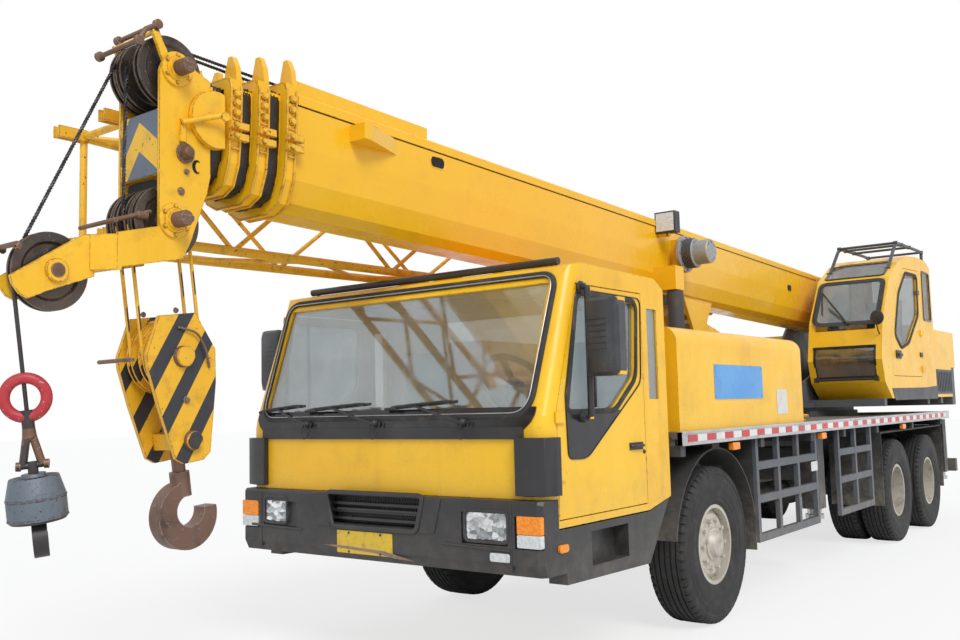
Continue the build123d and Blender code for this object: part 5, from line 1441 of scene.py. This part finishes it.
for way in (-1, 1):
    add_rod(
        bm, hung(Vector((0, aux_y, 1.475)) + level * way * 0.012),
        hung(Vector((0, aux_y, 1.352)) + level * way * 0.038), 0.017,
    )
    add_turned(
        bm, ((-0.01, 0.02), (0.01, 0.02)), hung(Vector((0, aux_y, 1.35)) + level * way * 0.056), level, 16,
    )
add_turned(bm, ((0, 0.02), (0.05, 0.026), (0.09, 0.03), (0.1, 0.024)), hung((0, aux_y, 1.56)), axis, 20)
piece("aux_socket_and_fork", bm, pin_brown, "aux_hook_body")

# ---------------------------------------------------------------- cable reel and floodlight
# Cast grey spring reel with a bolted cover on the boom's left flank, and a black floodlight with a clear glass
# on a short stem over it.
reel_grey = paint(
    "reel_grey", (0.3, 0.32, 0.34), (0.38, 0.4, 0.42), grime=(0.1, 0.08, 0.06), grime_share=0.6, streak=0.3,
    chip=0.2, edge=0.6, rough=0.45, metal=0.3, size=3.0,
)
reel_spot = Vector((0.33, -0.236, 2.846))
bm = bmesh.new()
add_turned(
    bm,
    (
        (-0.002, 0.161), (0.002, 0.1645), (0.03, 0.1645), (0.034, 0.15), (0.036, 0.128), (0.128, 0.128),
        (0.134, 0.12), (0.136, 0.107), (0.258, 0.107), (0.268, 0.098), (0.268, 0.04), (0.27, 0.02),
    ),
    reel_spot, (1, 0, 0), 48,
)
for k in range(8):
    angle = math.tau * k / 8
    spot = reel_spot + Vector((0.034, 0.145 * math.cos(angle), 0.145 * math.sin(angle)))
    add_bolt(bm, spot, (1, 0, 0), across=0.01, tall=0.008)
    spot = reel_spot + Vector((0.266, 0.08 * math.cos(angle), 0.08 * math.sin(angle)))
    add_bolt(bm, spot, (1, 0, 0), across=0.008, tall=0.006)
piece("cable_reel_case", bm, reel_grey, "boom", bevel=0.002)
bm = bmesh.new()
for k in range(7):
    add_turned(
        bm, ((0, 0.128), (0.006, 0.134), (0.012, 0.128)), reel_spot + Vector((0.037 + 0.0125 * k, 0, 0)),
        (1, 0, 0), 40,
    )
lamp_spot = Vector((0.33, -0.53, 3.09))
add_box(bm, lamp_spot - Vector((0.097, 0.05, 0.093)), lamp_spot + Vector((0.097, 0.047, 0.093)))
add_rod(bm, lamp_spot - Vector((0, 0, 0.12)), lamp_spot - Vector((0, 0, 0.09)), 0.016)
piece("reel_cable_and_lamp_body", bm, black_paint, "boom", bevel=0.004)
bm = bmesh.new()
add_box(bm, lamp_spot + Vector((-0.083, -0.055, -0.079)), lamp_spot + Vector((0.083, -0.049, 0.079)))
piece("floodlight_glass", bm, clear_lens, "boom", bevel=0.002)

# ---------------------------------------------------------------- operator's cab windows
# Flat toughened panes bonded from outside, black along their edges, with rounded rubber seals. The door and
# the rear side window have fat black rubber.
op_inner = 0.43
op_outer = 1.215
op_pane = pane_glass("op_cab_glass", (0.3, 0.34, 0.34), 0.4)


def on_slope(low, high):
    """A place function for a raked front face between two (y, z) points of the cab's outline."""
    run = (Vector(high) - Vector(low))
    along = run.normalized()
    out_way = Vector((-along.y, along.x))

    def place(x, t, out):
        """A point at width x and distance t up the face."""
        spot = Vector(low) + along * t + out_way * out
        return Vector((x, spot.x, spot.y))

    return place, run.length


screen, screen_run = on_slope((2.68, 2.36), (3.06, 2.87))
roof_face, roof_run = on_slope((3.06, 2.87), (3.46, 3.07))
bm = bmesh.new()
edges = bmesh.new()
pane_loop = rounded_box(
    op_inner + 0.03, -0.05, op_outer - 0.03, screen_run - 0.03, (0.09, 0.09, 0.04, 0.04),
)
add_sheet(bm, pane_loop, screen, 0.004, 0.009)
inner_loop = rounded_box(op_inner + 0.08, 0.0, op_outer - 0.08, screen_run - 0.08, (0.08, 0.08, 0.04, 0.04))
add_gasket(edges, inner_loop, lambda a, b, out: screen(a, b, out + 0.009), 0.055, 0.004)
roof_loop = rounded_box(op_inner + 0.09, 0.05, op_outer - 0.09, roof_run - 0.02, 0.03)
add_sheet(bm, roof_loop, roof_face, 0.003, 0.008)
add_gasket(edges, roof_loop, lambda a, b, out: roof_face(a, b, out + 0.006), 0.03, 0.008)
low_pane = [(2.634, 1.765), (2.578, 1.94), (2.611, 2.078), (2.617, 2.076), (2.585, 1.94), (2.64, 1.767)]
add_plate(bm, low_pane, 0.498, 1.142)
for x in (0.49, 1.13):
    add_plate(
        edges, [(2.637, 1.76), (2.566, 1.94), (2.602, 2.085), (2.63, 2.085), (2.59, 1.94), (2.66, 1.76)], x,
        x + 0.022,
    )
for y, z in ((2.638, 1.755), (2.6, 2.085)):
    add_box(edges, (0.49, y - 0.012, z - 0.01), (1.152, y + 0.02, z + 0.012))
add_box(bm, (0.525, 4.948, 2.455), (1.12, 4.954, 3.025))
rear_side = rounded([(4.502, 2.472), (4.858, 2.472), (4.858, 3.048), (4.522, 3.048)], 0.03)


def on_op_side(a, b, out):
    """A point on the cab's outer side."""
    return Vector((op_outer + out, a, b))


def on_op_inside(a, b, out):
    """A point on the cab's side towards the boom."""
    return Vector((op_inner - out, a, b))


add_sheet(bm, rear_side, on_op_side, -0.012, -0.006)
add_gasket(edges, rear_side, on_op_side, 0.022, 0.009)
door_glass = rounded(
    [(3.16, 2.23), (3.38, 2.10), (3.71, 2.17), (4.20, 2.51), (4.24, 2.96), (3.74, 2.95), (3.39, 2.69)],
    0.05,
)
add_sheet(bm, door_glass, on_op_inside, -0.02, -0.014)
add_gasket(edges, door_glass, on_op_inside, 0.02, 0.006)
piece("op_cab_panes", bm, op_pane, "superstructure")
piece("op_cab_seals", edges, gloss_black, "superstructure")
bm = bmesh.new()
add_sheet(bm, door_glass, on_op_side, -0.018, -0.012)
piece("op_door_pane", bm, op_pane, "op_door")
bm = bmesh.new()
add_gasket(bm, door_glass, on_op_side, 0.036, 0.012)
piece("op_door_seal", bm, rubber, "op_door")

# ---------------------------------------------------------------- operator's cab trim
# Rolled tube guard over the roof light, a wiper, a grab bar, a round mirror on a stem, a door lock box and
# black strips down the front corners. A grey skirt runs under it, and ribbed panels cover the tail's sides.
guard_grey = paint(
    "guard_grey", (0.045, 0.05, 0.056), (0.07, 0.075, 0.082), grime=(0.12, 0.1, 0.08), grime_share=0.4,
    chip=0.3, edge=0.5, rough=0.42,
)
guard_sides = (0.5, 1.145)
bm = bmesh.new()
for x in guard_sides:
    route = [Vector((x, y, z)) for y, z in ((3.28, 2.966), (3.7, 3.33), (4.9, 3.35), (4.88, 3.17))]
    add_pipe(bm, bend(route, 0.18, 7), 0.019, 14)
    for y, z in ((3.3, 2.985), (4.88, 3.18)):
        add_box(bm, (x - 0.03, y - 0.03, z - 0.03), (x + 0.03, y + 0.03, z + 0.012))
for y, z in ((3.7, 3.325), (3.95, 3.33), (4.3, 3.34), (4.9, 3.345)):
    add_rod(bm, (guard_sides[0], y, z), (guard_sides[1], y, z), 0.015)
    for x in guard_sides:
        add_turned(bm, ((-0.02, 0.023), (0.02, 0.023)), (x, y, z), (1, 0, 0), 14)
tubes = piece("op_cab_roof_guard", bm, guard_grey, "superstructure", bevel=0.002)
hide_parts("op_cab_guard")
bm = bmesh.new()
wiper_pivot = screen(0.86, -0.035, 0.012)
add_turned(bm, ((0, 0.022), (0.03, 0.018), (0.036, 0.008)), wiper_pivot, (0, -1, 0.6), 16)
for x, t in ((0.52, 0.44), (0.62, 0.2)):
    add_pipe(bm, [wiper_pivot + Vector((0, -0.02, 0.01)), screen(x, t, 0.032)], 0.007, 8)
add_pipe(bm, [screen(0.5, 0.5, 0.024), screen(0.56, 0.12, 0.024)], 0.008, 6)
add_rod(bm, (0.5, 2.615, 1.735), (1.14, 2.615, 1.735), 0.013)
for x in (0.5, 1.14):
    add_box(bm, (x - 0.02, 2.595, 1.71), (x + 0.02, 2.655, 1.76))
for x in (op_inner + 0.003, op_outer - 0.025):
    add_plate(
        bm, [(2.655, 1.7), (2.573, 1.94), (2.68, 2.345), (2.7, 2.335), (2.6, 1.94), (2.68, 1.7)], x,
        x + 0.022,
    )
add_pipe(
    bm, bend([Vector((1.19, 2.66, 2.2)), Vector((1.19, 2.58, 2.24)), Vector((1.19, 2.53, 2.33))], 0.3, 4),
    0.007, 8,
)
add_turned(
    bm, ((0, 0.02), (0.012, 0.075), (0.022, 0.08), (0.026, 0.074)), (1.19, 2.53, 2.38), (0.3, 1, 0), 28,
)
piece("op_cab_fittings", bm, black_paint, "superstructure", bevel=0.0015)
bm = bmesh.new()
add_box(bm, (op_outer, 3.13, 1.96), (op_outer + 0.014, 3.33, 2.05))
add_box(bm, (op_outer + 0.01, 3.15, 1.985), (op_outer + 0.034, 3.31, 2.015))
for z in (2.0, 2.75):
    add_box(bm, (op_outer, 4.2, z), (op_outer + 0.012, 4.31, z + 0.055))
piece("op_door_lock", bm, black_paint, "op_door", bevel=0.003)
skirt = paint(
    "skirt_grey", (0.05, 0.056, 0.064), (0.07, 0.077, 0.086), grime=(0.13, 0.1, 0.08), grime_share=0.5,
    chip=0.3, edge=0.5, rough=0.5,
)
bm = bmesh.new()
add_plate(
    bm, [(3.0, 1.5), (4.96, 1.5), (4.96, 1.66), (4.4, 1.64), (2.9, 1.63)], op_outer + 0.001,
    op_outer + 0.006,
)
piece("op_cab_skirt", bm, skirt, "superstructure", bevel=0.001)
bm = bmesh.new()
for side in (-1, 1):
    x = side * 1.201
    front_y = 5.02 if side > 0 else 4.41
    low, high = sorted((x, x + side * 0.008))
    add_box(bm, (low, front_y, 1.56), (high, 5.88, 1.87))
    for k in range(9):
        y = front_y + 0.06 + k * (5.82 - front_y) / 9
        add_box(bm, (min(x, x + side * 0.016), y, 1.59), (max(x, x + side * 0.016), y + 0.028, 1.84))
piece("tail_side_ribs", bm, skirt, "superstructure", bevel=0.002)

# ---------------------------------------------------------------- blank plates and side lamps
# Blank painted sheets, riveted to the deck box and the guards at each corner. Small amber lamps sit under the
# deck rail.
plate_blue = paint(
    "plate_blue", (0.07, 0.3, 0.68), (0.1, 0.36, 0.72), grime=(0.12, 0.1, 0.08), grime_share=0.3,
    rough=0.35, size=3.0,
)
plate_white = paint(
    "plate_white", (0.62, 0.62, 0.6), (0.7, 0.7, 0.68), grime=(0.25, 0.2, 0.15), grime_share=0.45,
    rough=0.45, size=3.0,
)
box_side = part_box("deck_boxes")[1].x
guard_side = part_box("side_guards")[1].x


def add_blank(bm, x, y0, y1, z0, z1):
    """A thin plate with rounded corners and a rivet at each, on an upright side."""
    loop = rounded_box(y0, z0, y1, z1, 0.012, 3)
    add_sheet(bm, loop, lambda a, b, out: Vector((x + out, a, b)), 0.0005, 0.003)
    for y in (y0 + 0.02, y1 - 0.02):
        for z in (z0 + 0.02, z1 - 0.02):
            add_turned(bm, ((0, 0.006), (0.003, 0.005), (0.004, 0.002)), (x + 0.003, y, z), (1, 0, 0), 10)


bm = bmesh.new()
add_blank(bm, box_side, -1.62, -0.72, 1.55, 1.8)
piece("blank_blue_plate", bm, plate_blue, "carrier")
bm = bmesh.new()
add_blank(bm, box_side, -0.42, -0.2, 1.42, 1.62)
add_blank(bm, guard_side, 0.2, 0.36, 0.92, 1.0)
piece("blank_white_plates", bm, plate_white, "carrier")
bm = bmesh.new()
for y in (-1.5, 0.42, 3.1):
    add_box(
        bm, (deck_high.x - 0.04, y, deck_high.z - 0.155),
        (deck_high.x + 0.002, y + 0.12, deck_high.z - 0.1),
    )
piece("side_lamps", bm, amber_lens, "carrier", bevel=0.006)

# ---------------------------------------------------------------- roof and deck posts
# Domed covers stand on the cab roof, and mushroom-headed vent posts on the deck.
bm = bmesh.new()
for x, y in ((0.75, -2.75), (0.95, -2.75)):
    size = 1.0 if x < 0.8 else 0.6
    add_turned(
        bm, tuple(
            (a * size, b * size)
            for a, b in ((0, 0.07), (0.02, 0.07), (0.045, 0.06), (0.065, 0.035), (0.07, 0.01))
        ),
        (x, y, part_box("cab_shell")[1].z - 0.002), (0, 0, 1), 24,
    )
piece("cab_roof_vents", bm, black_paint, "carrier")
bm = bmesh.new()
for y in (0.45, 0.72):
    add_turned(
        bm, (
            (0, 0.03), (0.03, 0.03), (0.034, 0.055), (0.048, 0.06), (0.058, 0.045), (0.062, 0.015),
        ), (0.98, y, deck_high.z), (0, 0, 1), 20,
    )
piece("deck_vent_posts", bm, worn_yellow, "carrier")

# ---------------------------------------------------------------- seats
# Foam cushions under woven cloth with sewn channels. The driver's, passenger's and operator's seats are the
# same kind: a crowned squab and a taller back that leans on its frame.
seat_cloth = paint(
    "seat_cloth", (0.05, 0.052, 0.058), (0.075, 0.077, 0.083), grime=(0.12, 0.1, 0.08), grime_share=0.3,
    rough=0.85, size=4.0, dent=0.15,
)
cloth_tree = seat_cloth.node_tree
cloth_place = cloth_tree.nodes.new("ShaderNodeTexCoord").outputs["Object"]
weave = None
for bands_direction in ("X", "Y", "Z"):
    threads = cloth_tree.nodes.new("ShaderNodeTexWave")
    threads.bands_direction = bands_direction
    threads.inputs["Scale"].default_value = 90.0
    wire(cloth_tree, cloth_place, threads.inputs["Vector"])
    weave = threads.outputs["Fac"] if weave is None else sum_of(cloth_tree, weave, threads.outputs["Fac"])
cloth_bump = [n for n in cloth_tree.nodes if n.bl_idname == "ShaderNodeBump"][0]
wire(cloth_tree, weave, cloth_bump.inputs["Height"])
cloth_tree.nodes["Principled BSDF"].inputs["Sheen Weight"].default_value = 0.3
cushion_cuts = 20


def add_cushion(bm, low, high, thin):
    """A crowned pad in a box: thickest in its middle, pulled in along its sides, with two sewn channels."""
    low = Vector(low)
    high = Vector(high)
    middle = (low + high) / 2
    half = (high - low) / 2
    flat = [a for a in range(3) if a != thin]
    faces = []
    for way in (-1, 1):
        grid = []
        for i in range(cushion_cuts + 1):
            row = []
            for j in range(cushion_cuts + 1):
                u = 2 * i / cushion_cuts - 1
                v = 2 * j / cushion_cuts - 1
                edge = i in (0, cushion_cuts) or j in (0, cushion_cuts)
                if way > 0 and edge:
                    row.append(faces[0][i][j])
                    continue
                crown = ((1 - abs(u) ** 5) * (1 - abs(v) ** 5)) ** 0.4
                groove = 0.12 * sum(math.exp(-((u - c) / 0.045) ** 2) for c in (-0.42, 0.42))
                spot = middle.copy()
                spot[flat[0]] += half[flat[0]] * u * (1 - 0.035 * (1 - v * v))
                spot[flat[1]] += half[flat[1]] * v * (1 - 0.035 * (1 - u * u))
                spot[thin] += way * half[thin] * crown * (1 - groove) * (1 - 0.1 * (1 - crown))
                row.append(bm.verts.new(spot))
            grid.append(row)
        faces.append(grid)
        for i in range(cushion_cuts):
            for j in range(cushion_cuts):
                bm.faces.new((grid[i][j], grid[i + 1][j], grid[i + 1][j + 1], grid[i][j + 1]))


def cushion(name, low, high, thin, body, node):
    """One cushion in the place of its part of a seat node."""
    bm = bmesh.new()
    add_cushion(bm, low, high, thin)
    made = piece(name, bm, seat_cloth, body, smooth=80)
    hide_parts(node)
    return made


cab_seat_x = 0.65
for side, name in ((1, "driver"), (-1, "passenger")):
    x = side * cab_seat_x
    cushion(name + "_squab", (x - 0.25, -3.15, 1.30), (x + 0.25, -2.65, 1.42), 2, "carrier", "cab_seats")
    cushion(name + "_backrest", (x - 0.24, -2.65, 1.32), (x + 0.24, -2.54, 1.96), 1, "carrier", "cab_seats")
cushion("operator_squab", (0.6, 3.7, 1.95), (1.05, 4.18, 2.08), 2, "superstructure", "op_seat")
cushion("operator_backrest", (0.61, 4.18, 1.97), (1.04, 4.30, 2.70), 1, "superstructure", "op_seat")
bm = bmesh.new()
op_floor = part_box("op_seat")[0].z
add_turned(
    bm,
    (
        (0, 0.12), (0.02, 0.12), (0.04, 0.07), (1.93 - op_floor, 0.07), (1.935 - op_floor, 0.12),
        (1.95 - op_floor, 0.12),
    ),
    (0.825, 3.95, op_floor), (0, 0, 1), 24,
)
base = piece("operator_seat_post", bm, black_paint, "superstructure", bevel=0.002)
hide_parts("op_seat")

# ---------------------------------------------------------------- tyres
# Radial truck tyres: four grooves and a row of cut shoulder blocks each side, stepped rings moulded on the
# wall. Black rubber greyed by dust. They are mounted on the rims, twinned behind.
tyre_radius = 0.542
tyre_half = 0.145
tyre_wall = (
    # out from the middle, radius
    (0.1075, 0.2745), (0.124, 0.276), (0.1285, 0.292), (0.133, 0.297), (0.1365, 0.326), (0.1405, 0.331),
    (0.1425, 0.372),
    (0.1445, 0.377), (0.1448, 0.412), (0.1425, 0.418), (0.1435, 0.445), (0.1405, 0.45), (0.1375, 0.478),
    (0.1415, 0.487),
)
shoulder = ((0.1385, 0.508), (0.131, 0.525), (0.119, 0.536), (0.1, 0.5395))
groove_half = 0.0042
groove_deep = 0.014
grooves = (-0.079, -0.041, 0.0, 0.041, 0.079)
block_count = 56


def tyre_profile():
    """Points round the section from one bead to the other, each with how far a shoulder cut lowers it."""
    half = [(x, r, 0.0) for x, r in tyre_wall] + [
        (x, r, d) for (x, r), d in zip(shoulder, (0.004, 0.011, 0.013, 0.012))
    ]
    half.append((0.093, 0.54, 0.0))
    points = [(-x, r, d) for x, r, d in half]
    for middle in grooves:
        crown = tyre_radius - 0.0012 - 0.25 * middle * middle
        for x, deep in ((-1.5, 0), (-1, 1), (1, 1), (1.5, 0)):
            points.append((middle + x * groove_half, crown - deep * groove_deep, 0.0))
    return points + [(x, r, d) for x, r, d in reversed(half)]


def add_tyre(bm, centre_x, centre_y):
    """One tyre, swept round its axle with the shoulder cut into blocks."""
    profile = tyre_profile()
    rings = []
    for block in range(block_count):
        for share, cut in ((0.0, 0), (0.66, 0), (0.72, 1), (0.94, 1)):
            angle = math.tau * (block + share) / block_count
            sine, cosine = math.sin(angle), math.cos(angle)
            ring = []
            for x, radius, drop in profile:
                reach = radius - drop * cut
                ring.append(
                    bm.verts.new((centre_x + x, centre_y + reach * cosine, tyre_radius + reach * sine))
                )
            rings.append(ring)
    for k, ring in enumerate(rings):
        after = rings[(k + 1) % len(rings)]
        for a in range(len(profile) - 1):
            bm.faces.new((ring[a], ring[a + 1], after[a + 1], after[a]))
        bm.faces.new((ring[-1], ring[0], after[0], after[-1]))


def tyre_material():
    """Black rubber with grey dust in random patches."""
    material = paint(
        "tyre_rubber", (0.017, 0.017, 0.018), (0.032, 0.031, 0.031), grime=(0.1, 0.088, 0.072),
        grime_share=0.45, rough=0.78, size=2.2, dent=0.35,
    )
    return material


tyre_rubber = tyre_material()
wheel_names = ["front_left", "front_right"] + [
    "rear_" + str(a) + "_" + s for a in (1, 2) for s in ("left", "right")
]
wheel_bodies = {
    name: "front_wheel_" + name.split("_")[1] if name.startswith("front") else "rear_wheel_" + name[5:]
    for name in wheel_names
}
for name in wheel_names:
    low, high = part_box("tyre_" + name)
    middle_y = (low.y + high.y) / 2
    bm = bmesh.new()
    if high.x - low.x < 0.4:
        add_tyre(bm, (low.x + high.x) / 2, middle_y)
    else:
        add_tyre(bm, low.x + tyre_half, middle_y)
        add_tyre(bm, high.x - tyre_half, middle_y)
    made = piece("tread_tyre_" + name, bm, tyre_rubber, wheel_bodies[name], smooth=28.0)
    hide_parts("tyre_" + name)

# ---------------------------------------------------------------- rims
# Pressed steel discs in old beige-silver enamel, under a hub cap with a ring of small bolts. The front ones
# stand out round the hub and the rear ones are dished deep inside the outer tyre. Brake dust greys them.
rim_paint = paint(
    "rim_silver", (0.56, 0.53, 0.46), (0.47, 0.43, 0.36), grime=(0.16, 0.1, 0.06), grime_share=0.75,
    chip=0.35, rough=0.42, metal=0.2, size=2.6, dent=0.3,
)
hub_iron = paint(
    "hub_iron", (0.34, 0.32, 0.29), (0.26, 0.23, 0.2), grime=(0.07, 0.05, 0.035), grime_share=0.9, chip=0.4,
    rough=0.5, metal=0.55, size=3.0, dent=0.5,
)
for name in wheel_names:
    dress(rim_paint, "rim_" + name)
    low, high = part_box("rim_" + name)
    side = 1 if high.x > 0 else -1
    y = (low.y + high.y) / 2
    bm = bmesh.new()
    if name.startswith("front"):
        face = side * (max(abs(low.x), abs(high.x)))
        add_turned(
            bm, ((-0.09, 0.078), (-0.012, 0.074), (0.0, 0.06), (0.004, 0.03), (0.004, 0.0)),
            (face - side * 0.005, y, tyre_radius), (side, 0, 0), 32,
        )
        for k in range(10):
            turn = math.tau * (k + 0.5) / 10
            spot = (face - side * 0.075, y + 0.098 * math.cos(turn), tyre_radius + 0.098 * math.sin(turn))
            add_bolt(bm, spot, (side, 0, 0), 0.008, 0.012)
    else:
        face = side * (max(abs(low.x), abs(high.x)) - 0.16)
        add_turned(
            bm, ((-0.05, 0.095), (0.035, 0.09), (0.05, 0.07), (0.052, 0.0)), (face, y, tyre_radius),
            (side, 0, 0), 32,
        )
        for k in range(8):
            turn = math.tau * k / 8
            spot = (face + side * 0.045, y + 0.075 * math.cos(turn), tyre_radius + 0.075 * math.sin(turn))
            add_bolt(bm, spot, (side, 0, 0), 0.007, 0.01)
    piece("hub_cap_" + name, bm, hub_iron, wheel_bodies[name], bevel=0.002)
